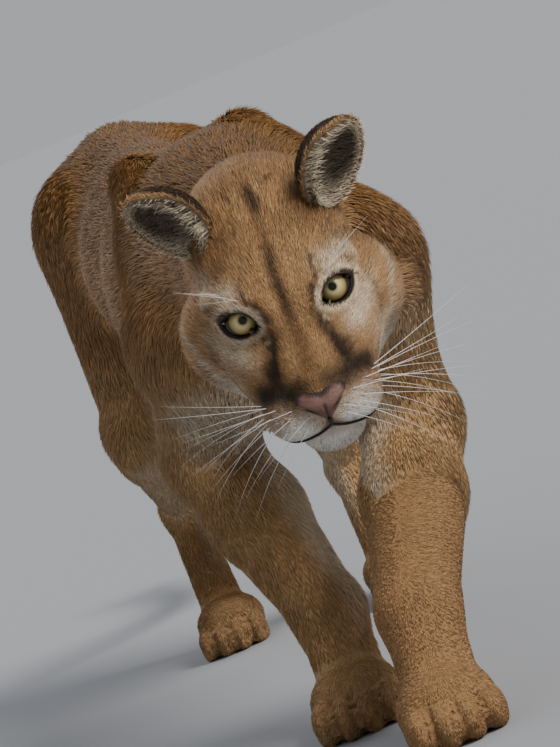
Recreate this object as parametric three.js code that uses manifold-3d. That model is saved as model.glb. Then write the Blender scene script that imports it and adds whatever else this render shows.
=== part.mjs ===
// A life-size cougar, walking with its head low and its left forepaw set forward.
// Millimetres, +Z up. The animal faces -Y, so +X is its left side. The origin is on the floor, under the
// middle of the animal's outline.
//
// The body is one smooth flesh form, blended from named bones and muscles. Each part of the animal is a
// three.js sphere or capsule whose vertices are cast out from its own core to that form, then trimmed flat
// where it meets the next part.
import * as THREE from "three";
import { mergeVertices } from "three/addons/utils/BufferGeometryUtils.js";
import Module from "manifold-3d";

const wasm = await Module();
wasm.setup();

// Driving dimensions
const EYE_HEIGHT = 380; // eyes above the floor, with the head carried low
const HEAD_PITCH = 33; // degrees that the muzzle points down
const HEAD_ROLL = 2.5; // degrees that the head leans to its left
const HEAD_YAW = -3.5; // degrees that the muzzle turns, here to the animal's right
const TRUNK_YAW = 7.5; // degrees that the trunk trails off to the animal's right
const WITHERS = [-18, 300]; // where the trunk's axis starts, over the shoulders
const SEAM = 0.3; // gap between parts that touch

const vec = (x, y, z) => new THREE.Vector3(x, y, z);
const radians = THREE.MathUtils.degToRad;
const mirror = ([a, b, c], side) => [a, b, c * side];
const between = (a, b, share = 0.5) => a.clone().lerp(b, share);

// Frames
const SIDES = { left: 1, right: -1 };
const trunkBack = vec(-Math.sin(radians(TRUNK_YAW)), Math.cos(radians(TRUNK_YAW)), 0);
const trunkLeft = vec(Math.cos(radians(TRUNK_YAW)), Math.sin(radians(TRUNK_YAW)), 0);

// A point of the trunk: distance behind the withers, distance to the left of the spine, and height.
function trunkPoint(behind, left, height) {
  return vec(WITHERS[0], WITHERS[1], height)
    .addScaledVector(trunkBack, behind)
    .addScaledVector(trunkLeft, left);
}

const eyesMiddle = vec(0, 0, EYE_HEIGHT);
const headTurn = new THREE.Matrix4()
  .makeRotationZ(radians(HEAD_YAW))
  .multiply(new THREE.Matrix4().makeRotationX(radians(HEAD_PITCH)))
  .multiply(new THREE.Matrix4().makeRotationY(radians(HEAD_ROLL)));
const headForward = vec(0, -1, 0).transformDirection(headTurn);
const headUp = vec(0, 0, 1).transformDirection(headTurn);
const headLeft = vec(1, 0, 0).transformDirection(headTurn);

// A point of the head, from the middle between the eyes: forward along the muzzle, up, and to the left.
function headPoint([forward, up, left]) {
  return eyesMiddle
    .clone()
    .addScaledVector(headForward, forward)
    .addScaledVector(headUp, up)
    .addScaledVector(headLeft, left);
}

// The flesh form
const flesh = [];

// A rounded cone from a to b, with its sides pressed in to a share of their width.
function cone(a, radiusA, b, radiusB, blend, press = 1) {
  flesh.push({ a, b, radiusA, radiusB, blend, press });
}

// An ellipsoid with its radii along three directions.
function lobe(centre, radii, blend, axes) {
  flesh.push({ centre, radii, blend, axes });
}

const offset = new THREE.Vector3();
const line = new THREE.Vector3();
function distanceToCone(p, f) {
  offset.subVectors(p, f.a);
  line.subVectors(f.b, f.a);
  const stretch = 1 / f.press - 1;
  offset.addScaledVector(trunkLeft, offset.dot(trunkLeft) * stretch);
  line.addScaledVector(trunkLeft, line.dot(trunkLeft) * stretch);
  const share = THREE.MathUtils.clamp(offset.dot(line) / Math.max(line.lengthSq(), 1e-6), 0, 1);
  offset.addScaledVector(line, -share);
  const away = offset.length();
  const gap = away - THREE.MathUtils.lerp(f.radiusA, f.radiusB, share);
  if (away < 1e-6) return gap;
  const across = offset.dot(trunkLeft) / away;
  return gap / Math.sqrt(1 + (1 / f.press ** 2 - 1) * across ** 2);
}

function distanceToLobe(p, f) {
  offset.subVectors(p, f.centre);
  let inner = 0;
  let slope = 0;
  f.axes.forEach((axis, i) => {
    const share = offset.dot(axis) / f.radii[i];
    inner += share ** 2;
    slope += (share / f.radii[i]) ** 2;
  });
  if (slope < 1e-12) return -Math.min(...f.radii);
  return (Math.sqrt(inner) * (Math.sqrt(inner) - 1)) / Math.sqrt(slope);
}

// Distance to the whole body, negative inside, with neighbouring forms blended into each other.
function bodyDistance(p) {
  let least = 1e3;
  for (const f of flesh) {
    const d = f.centre ? distanceToLobe(p, f) : distanceToCone(p, f);
    const near = Math.max(f.blend - Math.abs(least - d), 0) / f.blend;
    least = Math.min(least, d) - (near ** 2 * f.blend) / 4;
  }
  return least;
}

// Trunk and neck. Each row is a rounded cone: its two ends with their radii, and how far its sides are
// pressed in.
const TRUNK_BLEND = 36;
const TRUNK = [
  [trunkPoint(-55, 0, 398), 116, trunkPoint(200, 0, 400), 126, 0.8],
  [trunkPoint(200, 0, 400), 126, trunkPoint(430, 0, 424), 102, 0.88],
  [trunkPoint(430, 0, 424), 102, trunkPoint(620, 0, 462), 98, 0.96],
  [trunkPoint(620, 0, 464), 92, trunkPoint(690, 0, 448), 70, 1],
  [trunkPoint(90, 0, 480), 44, trunkPoint(330, 0, 478), 42, 1],
  [trunkPoint(330, 0, 478), 42, trunkPoint(600, 0, 522), 46, 1],
  [trunkPoint(380, 0, 348), 42, trunkPoint(540, 0, 366), 32, 1],
];
const NECK = [
  [vec(0, 98, 410), 76, vec(-14, 270, 433), 104, 1],
  [vec(0, 150, 452), 42, vec(-18, 300, 489), 48, 1],
  [vec(0, 82, 366), 54, vec(-10, 215, 350), 78, 1],
];
function addTrunk() {
  for (const [a, radiusA, b, radiusB, press] of [...TRUNK, ...NECK]) {
    cone(a, radiusA, b, radiusB, TRUNK_BLEND, press);
  }
}

// The brisket hangs between the upper arms. It is added to the flesh form once the legs are cast.
const BRISKET = {
  front: trunkPoint(-62, 0, 310),
  rear: trunkPoint(226, 0, 332),
  radius: 57,
  ends: 6,
  around: 24,
};
function addBrisket() {
  cone(BRISKET.front, BRISKET.radius, BRISKET.rear, BRISKET.radius, TRUNK_BLEND);
}

// Forelegs, from the top of the shoulder blade to the paw
const FORE = {
  right: {
    blade: vec(-80, 338, 508), shoulder: vec(-96, 228, 373), elbow: vec(-116, 366, 262),
    wrist: vec(-72, 256, 100), knuckles: vec(-74, 228, 45), paw: vec(-77, 200, 27), toeOut: -6,
  },
  left: {
    blade: vec(28, 322, 508), shoulder: vec(80, 174, 383), elbow: vec(62, 212, 232),
    wrist: vec(2, 48, 101), knuckles: vec(-5, 14, 45), paw: vec(-8, -14, 27), toeOut: 4,
  },
};
const HIND = {
  right: {
    hip: trunkPoint(590, -64, 462), seat: trunkPoint(676, -52, 432), knee: vec(-188, 806, 266),
    calf: vec(-187, 898, 242), hock: vec(-185, 1008, 154), heel: vec(-185, 1026, 168),
    knuckles: vec(-183, 972, 40), paw: vec(-181, 944, 27), toeOut: -5,
  },
  left: {
    hip: trunkPoint(590, 64, 460), seat: trunkPoint(676, 52, 430), knee: vec(-10, 770, 284),
    calf: vec(-5, 838, 244), hock: vec(0, 906, 137), heel: vec(0, 925, 151),
    knuckles: vec(4, 852, 40), paw: vec(6, 822, 27), toeOut: 5,
  },
};

const FORE_RADII = { blade: 40, shoulder: 58, arm: 46, elbow: 45, forearm: 48, wrist: 36, knuckles: 34 };
const HIND_RADII = { hip: 84, seat: 66, knee: 47, calf: 43, hock: 23, heel: 15, knuckles: 27 };
const UPPER_BLEND = 34;
const LOWER_BLEND = 16;

function addForeleg({ blade, shoulder, elbow, wrist, knuckles }) {
  const r = FORE_RADII;
  const forearm = between(elbow, wrist, 0.4);
  const underBlade = between(blade, elbow, 0.3);
  cone(blade, r.blade, shoulder, r.shoulder, UPPER_BLEND, 0.8);
  cone(underBlade, r.arm, elbow, r.elbow, UPPER_BLEND, 0.85);
  cone(shoulder, r.shoulder, elbow, r.elbow, UPPER_BLEND, 0.88);
  cone(elbow, r.forearm, forearm, r.forearm, LOWER_BLEND);
  cone(forearm, r.forearm, wrist, r.wrist, LOWER_BLEND);
  cone(wrist, r.wrist, knuckles, r.knuckles, LOWER_BLEND);
}

function addHindleg({ hip, seat, knee, calf, hock, heel, knuckles }) {
  const r = HIND_RADII;
  cone(hip, r.hip, knee, r.knee, UPPER_BLEND, 0.72);
  cone(seat, r.seat, calf, r.calf, UPPER_BLEND, 0.8);
  cone(knee, r.knee, calf, r.calf, LOWER_BLEND, 0.85);
  cone(calf, r.calf, hock, r.hock, LOWER_BLEND, 0.9);
  cone(hock, r.hock, heel, r.heel, LOWER_BLEND);
  cone(hock, r.hock, knuckles, r.knuckles, LOWER_BLEND);
}

// A paw: the pad and four toes, fanned out in front of it
const FORE_PAW = { pad: [46, 44, 36], toe: [31, 13.5, 21], reach: 25, spread: 21 };
const HIND_PAW = { pad: [43, 39, 32], toe: [28, 12, 19], reach: 24, spread: 18.5 };
const TOES = [-1.5, -0.5, 0.5, 1.5];
const TOE_ARC = 8;
const TOE_SINK = 3; // how far the toes reach below the floor before they are cut flat

function pawAxes({ toeOut }) {
  const turn = new THREE.Matrix4().makeRotationZ(radians(toeOut));
  return [vec(0, -1, 0).transformDirection(turn), vec(1, 0, 0).transformDirection(turn), vec(0, 0, 1)];
}

const PAD_BLEND = 12;
function addPad(leg, { pad }) {
  lobe(leg.paw, pad, PAD_BLEND, pawAxes(leg));
}

// The middle of each toe; the two inner ones reach further forward.
function toePlaces(leg, { toe, reach, spread }) {
  const [ahead, left] = pawAxes(leg);
  return TOES.map((place) =>
    leg.paw
      .clone()
      .addScaledVector(ahead, reach + TOE_ARC * (2 - Math.abs(place)))
      .addScaledVector(left, place * spread)
      .setZ(toe[2] - TOE_SINK),
  );
}

// Head. Each row is in the head's own frame: forward, up, left.
const HEAD_AXES = [headForward, headUp, headLeft];
function headLobe(centre, radii, blend) {
  lobe(headPoint(centre), radii, blend, HEAD_AXES);
}
function headCone(a, radiusA, b, radiusB, blend) {
  cone(headPoint(a), radiusA, headPoint(b), radiusB, blend);
}

const EYE = { place: [-12, 0, 40], radius: 18, lid: 2.4 };
const NOSE = {
  wing: [73.5, -36, 7],
  wingRadii: [10.5, 10, 13.5],
  lower: [76, -47, 0],
  lowerRadii: [9, 11, 10],
  nostril: [84, -43, 12.5],
  nostrilRadii: [8, 3.6, 4.6],
};

function addHead() {
  const soft = 22;
  const firm = 9;
  headLobe([-72, 8, 0], [72, 52, 66], soft);
  headLobe([-104, 16, 0], [62, 68, 70], soft);
  headLobe([-34, 8, 0], [44, 40, 66], soft);
  headLobe([-14, -46, 0], [64, 42, 70], soft);
  headCone([-8, 0, 0], 26, [56, -42, 0], 21, soft);
  headLobe([34, -56, 0], [45, 32, 50], soft);
  for (const side of Object.values(SIDES)) {
    headCone(mirror([2, 3, 13], side), 10, mirror([58, -36, 12], side), 10, firm);
    headCone(mirror([4, 17, 20], side), 11, mirror([-20, 19, 56], side), 12, soft);
    headCone(mirror([14, -32, 34], side), 18, mirror([-46, -16, 62], side), 24, soft);
    headLobe(mirror([-50, -42, 60], side), [38, 46, 37], soft);
    headCone(mirror([40, -84, 14], side), 15, mirror([-46, -74, 44], side), 28, soft);
    headLobe(mirror([52, -58, 24], side), [30, 22, 28], firm);
    const eyeball = EYE.radius + EYE.lid;
    headLobe(mirror(EYE.place, side), [eyeball, eyeball, eyeball], firm);
  }
  headLobe([48, -87, 0], [24, 22, 27], firm);
  headLobe([64, -40, 0], [14, 15, 20], firm);
}

// Tail: a hanging J that clears the floor
const TAIL_LINE = new THREE.CatmullRomCurve3([
  trunkPoint(672, 0, 474),
  vec(-118, 1040, 450),
  vec(-134, 1112, 380),
  vec(-147, 1170, 288),
  vec(-158, 1232, 194),
  vec(-168, 1312, 122),
  vec(-175, 1402, 88),
  vec(-178, 1492, 96),
  vec(-175, 1566, 142),
]);
const TAIL_ROOT = 40;
const TAIL_MIDDLE = 25;
const TAIL_TIP = 23;
const TAIL_TAPER = 0.25; // share of the line over which the root narrows
function tailRadius(t) {
  if (t < TAIL_TAPER) return THREE.MathUtils.lerp(TAIL_ROOT, TAIL_MIDDLE, t / TAIL_TAPER);
  return THREE.MathUtils.lerp(TAIL_MIDDLE, TAIL_TIP, t);
}
const TAIL_STEPS = 16;
const TAIL_BLENDS = { root: 10, rest: 1 };
const TAIL_NAMES = ["tail_root", "tail_upper", "tail_lower", "tail_tip"];
const TAIL_CUTS = [0.055, 0.3, 0.55, 0.78]; // where each length starts, as a share of the line
const TAIL_OVERLAP = 0.05; // each length is cast this much longer before it is trimmed

function addTail() {
  for (let i = 0; i < TAIL_STEPS; i++) {
    const from = i / TAIL_STEPS;
    const to = (i + 1) / TAIL_STEPS;
    const blend = i === 0 ? TAIL_BLENDS.root : TAIL_BLENDS.rest;
    cone(TAIL_LINE.getPointAt(from), tailRadius(from), TAIL_LINE.getPointAt(to), tailRadius(to), blend);
  }
}

addTrunk();
Object.values(FORE).forEach(addForeleg);
Object.values(HIND).forEach(addHindleg);
addTail();
Object.values(FORE).forEach((leg) => addPad(leg, FORE_PAW));
Object.values(HIND).forEach((leg) => addPad(leg, HIND_PAW));
addHead();

// Casting a shape onto the flesh form
const CAST_STEP = 3;
const CAST_ROUNDS = 14;

// How far the form reaches from a point inside it, no further than `limit`.
const probe = new THREE.Vector3();
function reachFrom(core, direction, limit, grow) {
  const outside = (r) => bodyDistance(probe.copy(core).addScaledVector(direction, r)) > grow;
  let far = CAST_STEP;
  while (far < limit && !outside(far)) far += CAST_STEP;
  if (far >= limit) return limit;
  let near = far - CAST_STEP;
  for (let i = 0; i < CAST_ROUNDS; i++) {
    const middle = (near + far) / 2;
    if (outside(middle)) far = middle;
    else near = middle;
  }
  return far;
}

// A closed solid from a three.js geometry, turned the right way out if a mirroring frame was applied to it.
function solidFrom(geometry, mirrored = false) {
  geometry.deleteAttribute("normal");
  geometry.deleteAttribute("uv");
  const merged = mergeVertices(geometry, 1e-4);
  const vertProperties = Float32Array.from(merged.getAttribute("position").array);
  const triVerts = Uint32Array.from(merged.index.array);
  if (mirrored) triVerts.reverse();
  return new wasm.Manifold(new wasm.Mesh({ numProp: 3, vertProperties, triVerts }));
}

// A star-shaped part: a sphere's vertices cast out from one core point.
function castSphere(core, sphere, limit, grow = 0) {
  sphere.deleteAttribute("normal");
  sphere.deleteAttribute("uv");
  const merged = mergeVertices(sphere, 1e-5);
  const place = merged.getAttribute("position");
  for (let i = 0; i < place.count; i++) {
    const direction = vec(0, 0, 0).fromBufferAttribute(place, i).normalize();
    const p = core.clone().addScaledVector(direction, reachFrom(core, direction, limit, grow));
    place.setXYZ(i, p.x, p.y, p.z);
  }
  return solidFrom(merged);
}

// A long part: a capsule whose vertices are cast straight out from the axis that runs inside it. Its rings
// stay square to `ahead`, a direction or one for each share of the axis, with `first` in their plane.
function castCapsule(axis, ahead, first, { around, along, ends, limit }, grow = 0) {
  const capsule = new THREE.CapsuleGeometry(1, 1, ends, around, along);
  capsule.deleteAttribute("normal");
  capsule.deleteAttribute("uv");
  const merged = mergeVertices(capsule, 1e-5);
  const place = merged.getAttribute("position");
  for (let i = 0; i < place.count; i++) {
    const [x, y, z] = [place.getX(i), place.getY(i) + 0.5, place.getZ(i)];
    const share = THREE.MathUtils.clamp(y, 0, 1);
    const forward = typeof ahead === "function" ? ahead(share) : ahead;
    const across = vec(0, 0, 0).crossVectors(first, forward).normalize();
    const direction = vec(0, 0, 0)
      .crossVectors(forward, across)
      .multiplyScalar(x)
      .addScaledVector(forward, y - share)
      .addScaledVector(across, z)
      .normalize();
    const core = axis.getPointAt(share);
    const p = core.clone().addScaledVector(direction, reachFrom(core, direction, limit, grow));
    place.setXYZ(i, p.x, p.y, p.z);
  }
  return solidFrom(merged);
}

// Trimming. A block fills the side of a plane that `outward` points to.
const BLOCK = 2400;
function blockBeyond(point, outward, back = 0) {
  const turn = new THREE.Quaternion().setFromUnitVectors(vec(0, 0, 1), outward);
  const block = new THREE.BoxGeometry(BLOCK, BLOCK, BLOCK).translate(0, 0, BLOCK / 2 + back);
  return solidFrom(block.applyQuaternion(turn).translate(point.x, point.y, point.z));
}
const keepBeyond = (solid, point, outward) => solid.intersect(blockBeyond(point, outward, SEAM / 2));
const dropBeyond = (solid, point, outward) => solid.subtract(blockBeyond(point, outward, -SEAM / 2));

// The largest closed surface of a solid, so that no loose scrap is kept.
function largest(solid) {
  return solid.decompose().reduce((a, b) => (b.volume() > a.volume() ? b : a));
}

const cougar = new THREE.Group();
function addPart(name, solid, material) {
  const mesh = largest(solid).getMesh();
  const geometry = new THREE.BufferGeometry();
  geometry.setAttribute("position", new THREE.BufferAttribute(Float32Array.from(mesh.vertProperties), 3));
  geometry.setIndex(new THREE.BufferAttribute(Uint32Array.from(mesh.triVerts), 1));
  geometry.computeVertexNormals();
  const part = new THREE.Mesh(geometry, material);
  part.name = name;
  cougar.add(part);
}

const material = (color, roughness) => new THREE.MeshStandardMaterial({ color, roughness, metalness: 0 });
const COAT = material(0xb38b5d, 0.85);
const DARK_COAT = material(0x3a2c20, 0.85);
const EYEBALL = material(0xc9a544, 0.1);
const NOSE_SKIN = material(0x7a4f48, 0.5);

// Where the parts meet
const UP = vec(0, 0, 1);
const DOWN = vec(0, 0, -1);
const BACK = vec(0, 1, 0);
const LEFT = vec(1, 0, 0);
const HEAD_CUT = { point: vec(0, 87, 436), outward: vec(0, 0.97, 0.243) };
const NECK_CUT = { point: vec(0, 136, 380), outward: vec(0, -0.97, 0.243) };
const FORE_CUTS = { root: 276, joint: 172, paw: 60 };
const HIND_CUTS = { root: 298, joint: 214, paw: 54 };
const WAIST = 350; // behind the withers
const TAIL_SOCKET = { radius: 43, depth: 36, around: 24 };

// All that belongs to the tail: a round socket in the rump, and everything behind its open end.
function tailRegion(grow) {
  const { radius, depth, around } = TAIL_SOCKET;
  const ahead = TAIL_LINE.getTangentAt(TAIL_CUTS[0]);
  const turn = new THREE.Quaternion().setFromUnitVectors(vec(0, 1, 0), ahead);
  const start = TAIL_LINE.getPointAt(TAIL_CUTS[0]).addScaledVector(ahead, -grow);
  const socket = new THREE.CylinderGeometry(radius + grow, radius + grow, depth, around)
    .translate(0, depth / 2, 0)
    .applyQuaternion(turn)
    .translate(start.x, start.y, start.z);
  return solidFrom(socket).add(blockBeyond(start.clone().addScaledVector(ahead, depth - 1), ahead));
}

// Torso, with the upper arms, and hindquarters, with the thighs, down to the roots of the legs. Their axes
// overlap at the waist.
const WAIST_OVERLAP = 30;
const TORSO_CAST = { around: 36, along: 18, ends: 5, limit: 200 };
const HINDQUARTERS_CAST = { around: 36, along: 14, ends: 5, limit: 240 };
function addTrunkParts() {
  const waist = trunkPoint(WAIST, 0, 0);
  const front = new THREE.LineCurve3(trunkPoint(-160, 0, 412), trunkPoint(WAIST + WAIST_OVERLAP, 0, 424));
  let torso = castCapsule(front, trunkBack, UP, TORSO_CAST);
  torso = dropBeyond(torso, NECK_CUT.point, NECK_CUT.outward);
  torso = keepBeyond(torso, HEAD_CUT.point, HEAD_CUT.outward);
  torso = dropBeyond(torso, waist, trunkBack);
  addPart("torso", keepBeyond(torso, vec(0, 0, FORE_CUTS.root), UP), COAT);

  const rear = new THREE.LineCurve3(trunkPoint(WAIST - WAIST_OVERLAP, 0, 430), trunkPoint(655, 0, 446));
  let quarters = castCapsule(rear, trunkBack, UP, HINDQUARTERS_CAST);
  quarters = keepBeyond(quarters, waist, trunkBack);
  quarters = keepBeyond(quarters, vec(0, 0, HIND_CUTS.root), UP);
  addPart("hindquarters", quarters.subtract(tailRegion(SEAM)), COAT);
}

// Neck
const NECK_CAST = { around: 44, along: 7, ends: 3, limit: 150 };
function addNeck() {
  const axis = new THREE.LineCurve3(vec(0, 60, 420), vec(-8, 190, 420));
  let neck = castCapsule(axis, BACK, UP, NECK_CAST);
  neck = keepBeyond(neck, NECK_CUT.point, NECK_CUT.outward);
  neck = keepBeyond(neck, HEAD_CUT.point, HEAD_CUT.outward);
  addPart("neck", neck, COAT);
}

// Legs
function foreAxis({ shoulder, elbow, wrist, knuckles }) {
  const top = between(shoulder, elbow, 0.6);
  return new THREE.CatmullRomCurve3([top, elbow, between(elbow, wrist), wrist, knuckles]);
}
function hindAxis({ hip, seat, knee, calf, hock, knuckles }) {
  const top = between(between(hip, knee, 0.7), between(seat, calf, 0.6));
  const places = [between(knee, calf), between(calf, hock), hock, between(hock, knuckles), knuckles];
  return new THREE.CatmullRomCurve3([top, ...places]);
}

const LEG_CAST = { around: 16, along: 13, ends: 2, limit: 120 };
function addLeg(name, side, axis, cuts) {
  let leg = castCapsule(axis, DOWN, LEFT, LEG_CAST);
  leg = dropBeyond(leg, vec(0, 0, cuts.root), UP);
  leg = keepBeyond(leg, vec(0, 0, cuts.paw), UP);
  addPart(`${name}_upper_${side}`, keepBeyond(leg, vec(0, 0, cuts.joint), UP), COAT);
  addPart(`${name}_lower_${side}`, dropBeyond(leg, vec(0, 0, cuts.joint), UP), COAT);
}

// The brisket, under the torso and between the upper arms, which are cast once more with the gap round them
function addBrisketPart(arms) {
  const run = BRISKET.rear.clone().sub(BRISKET.front);
  const turn = new THREE.Quaternion().setFromUnitVectors(vec(0, 1, 0), run.clone().normalize());
  const capsule = new THREE.CapsuleGeometry(BRISKET.radius, run.length(), BRISKET.ends, BRISKET.around);
  const body = capsule.applyQuaternion(turn);
  let brisket = solidFrom(body.translate(...between(BRISKET.front, BRISKET.rear)));
  for (const arm of arms) brisket = brisket.subtract(arm);
  addPart("brisket", dropBeyond(brisket, vec(0, 0, FORE_CUTS.root), UP), COAT);
}

const PAD_DETAIL = 3;
const TOE_DETAIL = 1;
const PAD_LIMIT = 90;
function addPawPart(name, leg, shape, cuts) {
  let solid = castSphere(leg.paw, new THREE.IcosahedronGeometry(1, PAD_DETAIL), PAD_LIMIT);
  const turn = new THREE.Matrix4().makeBasis(...pawAxes(leg));
  for (const { x, y, z } of toePlaces(leg, shape)) {
    const toe = new THREE.IcosahedronGeometry(1, TOE_DETAIL).scale(...shape.toe).applyMatrix4(turn);
    solid = solid.add(solidFrom(toe.translate(x, y, z)));
  }
  solid = dropBeyond(solid, vec(0, 0, cuts.paw), UP);
  addPart(name, solid.intersect(blockBeyond(vec(0, 0, 0), UP)), COAT);
}

// Tail
const TAIL_CAST = { around: 14, along: 6, ends: 3, limit: 60 };
const tailShare = (from, to, share) => THREE.MathUtils.clamp(THREE.MathUtils.lerp(from, to, share), 0, 1);
function addTailParts() {
  TAIL_NAMES.forEach((name, i) => {
    const [from, to] = [TAIL_CUTS[i], TAIL_CUTS[i + 1] ?? 1];
    const reach = to < 1 ? to + TAIL_OVERLAP : to;
    const along = (share) => tailShare(from - TAIL_OVERLAP, reach, share);
    const axis = { getPointAt: (share) => TAIL_LINE.getPointAt(along(share)) };
    const ahead = (share) => TAIL_LINE.getTangentAt(along(share));
    let length = castCapsule(axis, ahead, LEFT, TAIL_CAST);
    length = keepBeyond(length, TAIL_LINE.getPointAt(from), TAIL_LINE.getTangentAt(from));
    if (to < 1) length = dropBeyond(length, TAIL_LINE.getPointAt(to), TAIL_LINE.getTangentAt(to));
    if (i === 0) length = length.intersect(tailRegion(0));
    addPart(name, length, name === "tail_tip" ? DARK_COAT : COAT);
  });
}

// Head
const HEAD_CORE = headPoint([-14, -24, 0]);
const HEAD_DETAIL = 10;
const HEAD_LIMIT = 190;
const EYE_DETAIL = 3;
const NOSE_DETAIL = 2;
const NOSTRIL_DETAIL = 1;

// A solid made in the head's frame, from a geometry whose x, y and z are forward, up and left.
const headFrame = new THREE.Matrix4().makeBasis(headForward, headUp, headLeft).setPosition(eyesMiddle);
const headSolid = (geometry) => solidFrom(geometry.applyMatrix4(headFrame), true);
function headBall([forward, up, left], [a, b, c], detail) {
  return headSolid(new THREE.IcosahedronGeometry(1, detail).scale(a, b, c).translate(forward, up, left));
}
const grown = (radii, gap) => radii.map((r) => r + gap);

// The almond between the lids: two round cutters that overlap, seen along the gaze.
const GAZE = { up: 26, out: 10, tilt: 14 }; // degrees
const ALMOND = { halfWidth: 15.5, halfHeight: 9.8, depth: 34, around: 24 };
function eyeOpening(side) {
  const { halfWidth, halfHeight, depth, around } = ALMOND;
  const radius = (halfWidth ** 2 / halfHeight + halfHeight) / 2;
  const shift = radius - halfHeight;
  const round = (lift) => {
    const cutter = new THREE.CylinderGeometry(radius, radius, depth, around)
      .translate(0, depth / 2, 0)
      .rotateZ(-Math.PI / 2)
      .translate(0, lift, 0)
      .rotateX(radians(-GAZE.tilt * side))
      .rotateZ(radians(GAZE.up))
      .rotateY(radians(-GAZE.out * side));
    return headSolid(cutter.translate(...mirror(EYE.place, side)));
  };
  return round(shift).intersect(round(-shift));
}

// Grooves on the muzzle: the mouth line, and the cleft from the nose down to it. Their points are
// directions from the muzzle's core, in the head's frame.
const MUZZLE_CORE = [30, -60, 0];
const MOUTH_LINE = [[-4, -20, 48], [14, -22, 44], [30, -19, 32], [42, -13, 17], [48, -8, 0]];
const CLEFT_LINE = [[46, 6, 0], [48, -1, 0], [48, -8, 0]];
const GROOVE = 2.2;
function groove(points) {
  const places = points.map((p) => {
    const from = headPoint(MUZZLE_CORE);
    const direction = headPoint(MUZZLE_CORE.map((c, i) => c + p[i])).sub(from).normalize();
    return from.addScaledVector(direction, reachFrom(from, direction, HEAD_LIMIT, 0));
  });
  const pieces = places.slice(1).map((to, i) => {
    const run = to.clone().sub(places[i]);
    const turn = new THREE.Quaternion().setFromUnitVectors(vec(0, 1, 0), run.clone().normalize());
    const piece = new THREE.CapsuleGeometry(GROOVE, run.length(), 1, 6).applyQuaternion(turn);
    return solidFrom(piece.translate(...between(places[i], to)));
  });
  return pieces.reduce((all, piece) => all.add(piece));
}

// An ear: the back half of a hollow egg, its open side turned forward and outward.
const EAR = {
  root: [-76, 43, 61],
  outer: [25, 47, 35],
  wall: 4.5,
  lean: 24, // degrees that it leans out
  turn: 26, // degrees that its open side turns out
  raise: 32, // its middle above its root
  lip: 2, // how far its rim reaches past the middle of the egg
};
const EGG_DETAIL = 3;
function earSolid(side) {
  const { root, outer, wall, lean, turn, raise, lip } = EAR;
  const egg = (radii) => new THREE.IcosahedronGeometry(1, EGG_DETAIL).scale(...radii);
  const front = new THREE.BoxGeometry(100, 200, 200).translate(50 + lip, 0, 0);
  const place = (geometry) =>
    headSolid(
      geometry
        .translate(0, raise, 0)
        .rotateY(radians(-turn * side))
        .rotateX(radians(lean * side))
        .translate(...mirror(root, side)),
    );
  return place(egg(outer)).subtract(place(egg(grown(outer, -wall)))).subtract(place(front));
}

// Nose pad with its nostrils
function noseSolid(gap) {
  const wings = Object.values(SIDES).map((side) =>
    headBall(mirror(NOSE.wing, side), grown(NOSE.wingRadii, gap), NOSE_DETAIL),
  );
  const lower = headBall(NOSE.lower, grown(NOSE.lowerRadii, gap), NOSE_DETAIL);
  return wings[0].add(wings[1]).add(lower);
}

function addHeadParts() {
  const skull = castSphere(HEAD_CORE, new THREE.IcosahedronGeometry(1, HEAD_DETAIL), HEAD_LIMIT);
  const room = castSphere(HEAD_CORE, new THREE.IcosahedronGeometry(1, HEAD_DETAIL), HEAD_LIMIT, SEAM);
  let head = dropBeyond(skull, HEAD_CUT.point, HEAD_CUT.outward);
  let nose = noseSolid(0);
  const eyeRadii = [EYE.radius, EYE.radius, EYE.radius];
  head = head.subtract(noseSolid(SEAM)).subtract(groove(CLEFT_LINE));
  for (const [name, side] of Object.entries(SIDES)) {
    const eye = mirror(EYE.place, side);
    head = head.subtract(headBall(eye, grown(eyeRadii, SEAM), EYE_DETAIL));
    head = head.subtract(eyeOpening(side));
    head = head.subtract(groove(MOUTH_LINE.map((p) => mirror(p, side))));
    nose = nose.subtract(headBall(mirror(NOSE.nostril, side), NOSE.nostrilRadii, NOSTRIL_DETAIL));
    addPart("eye_" + name, headBall(eye, eyeRadii, EYE_DETAIL), EYEBALL);
    addPart("ear_" + name, earSolid(side).subtract(room), COAT);
  }
  addPart("nose", nose, NOSE_SKIN);
  addPart("head", head, COAT);
}

for (const side of Object.keys(SIDES)) {
  addLeg("foreleg", side, foreAxis(FORE[side]), FORE_CUTS);
  addPawPart("forepaw_" + side, FORE[side], FORE_PAW, FORE_CUTS);
  addLeg("hindleg", side, hindAxis(HIND[side]), HIND_CUTS);
  addPawPart("hindpaw_" + side, HIND[side], HIND_PAW, HIND_CUTS);
}
addTailParts();
const arms = Object.values(FORE).map((leg) => castCapsule(foreAxis(leg), DOWN, LEFT, LEG_CAST, 2 * SEAM));
addBrisketPart(arms);
addBrisket();
addTrunkParts();
addNeck();
addHeadParts();

// The origin goes to the floor under the middle of the outline.
const outline = new THREE.Box3().setFromObject(cougar).getCenter(vec(0, 0, 0));
cougar.position.set(-outline.x, -outline.y, 0);

export default cougar;
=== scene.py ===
"""The looks of a life-size cougar that walks with its head low: skin, coat, eyes, ears, nose and whiskers.

The skin is pressed onto the same blended bone and muscle forms as the CAD solids, by the coat's depth
inside them. The coat is short solid tufts that follow the lie of the fur. Lengths in the forms are in
millimetres, in the head's or the body's own frame; the Blender pieces are in metres.
"""

import math

import bmesh
import bpy
import numpy as np
from mathutils import Matrix, Vector

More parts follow.
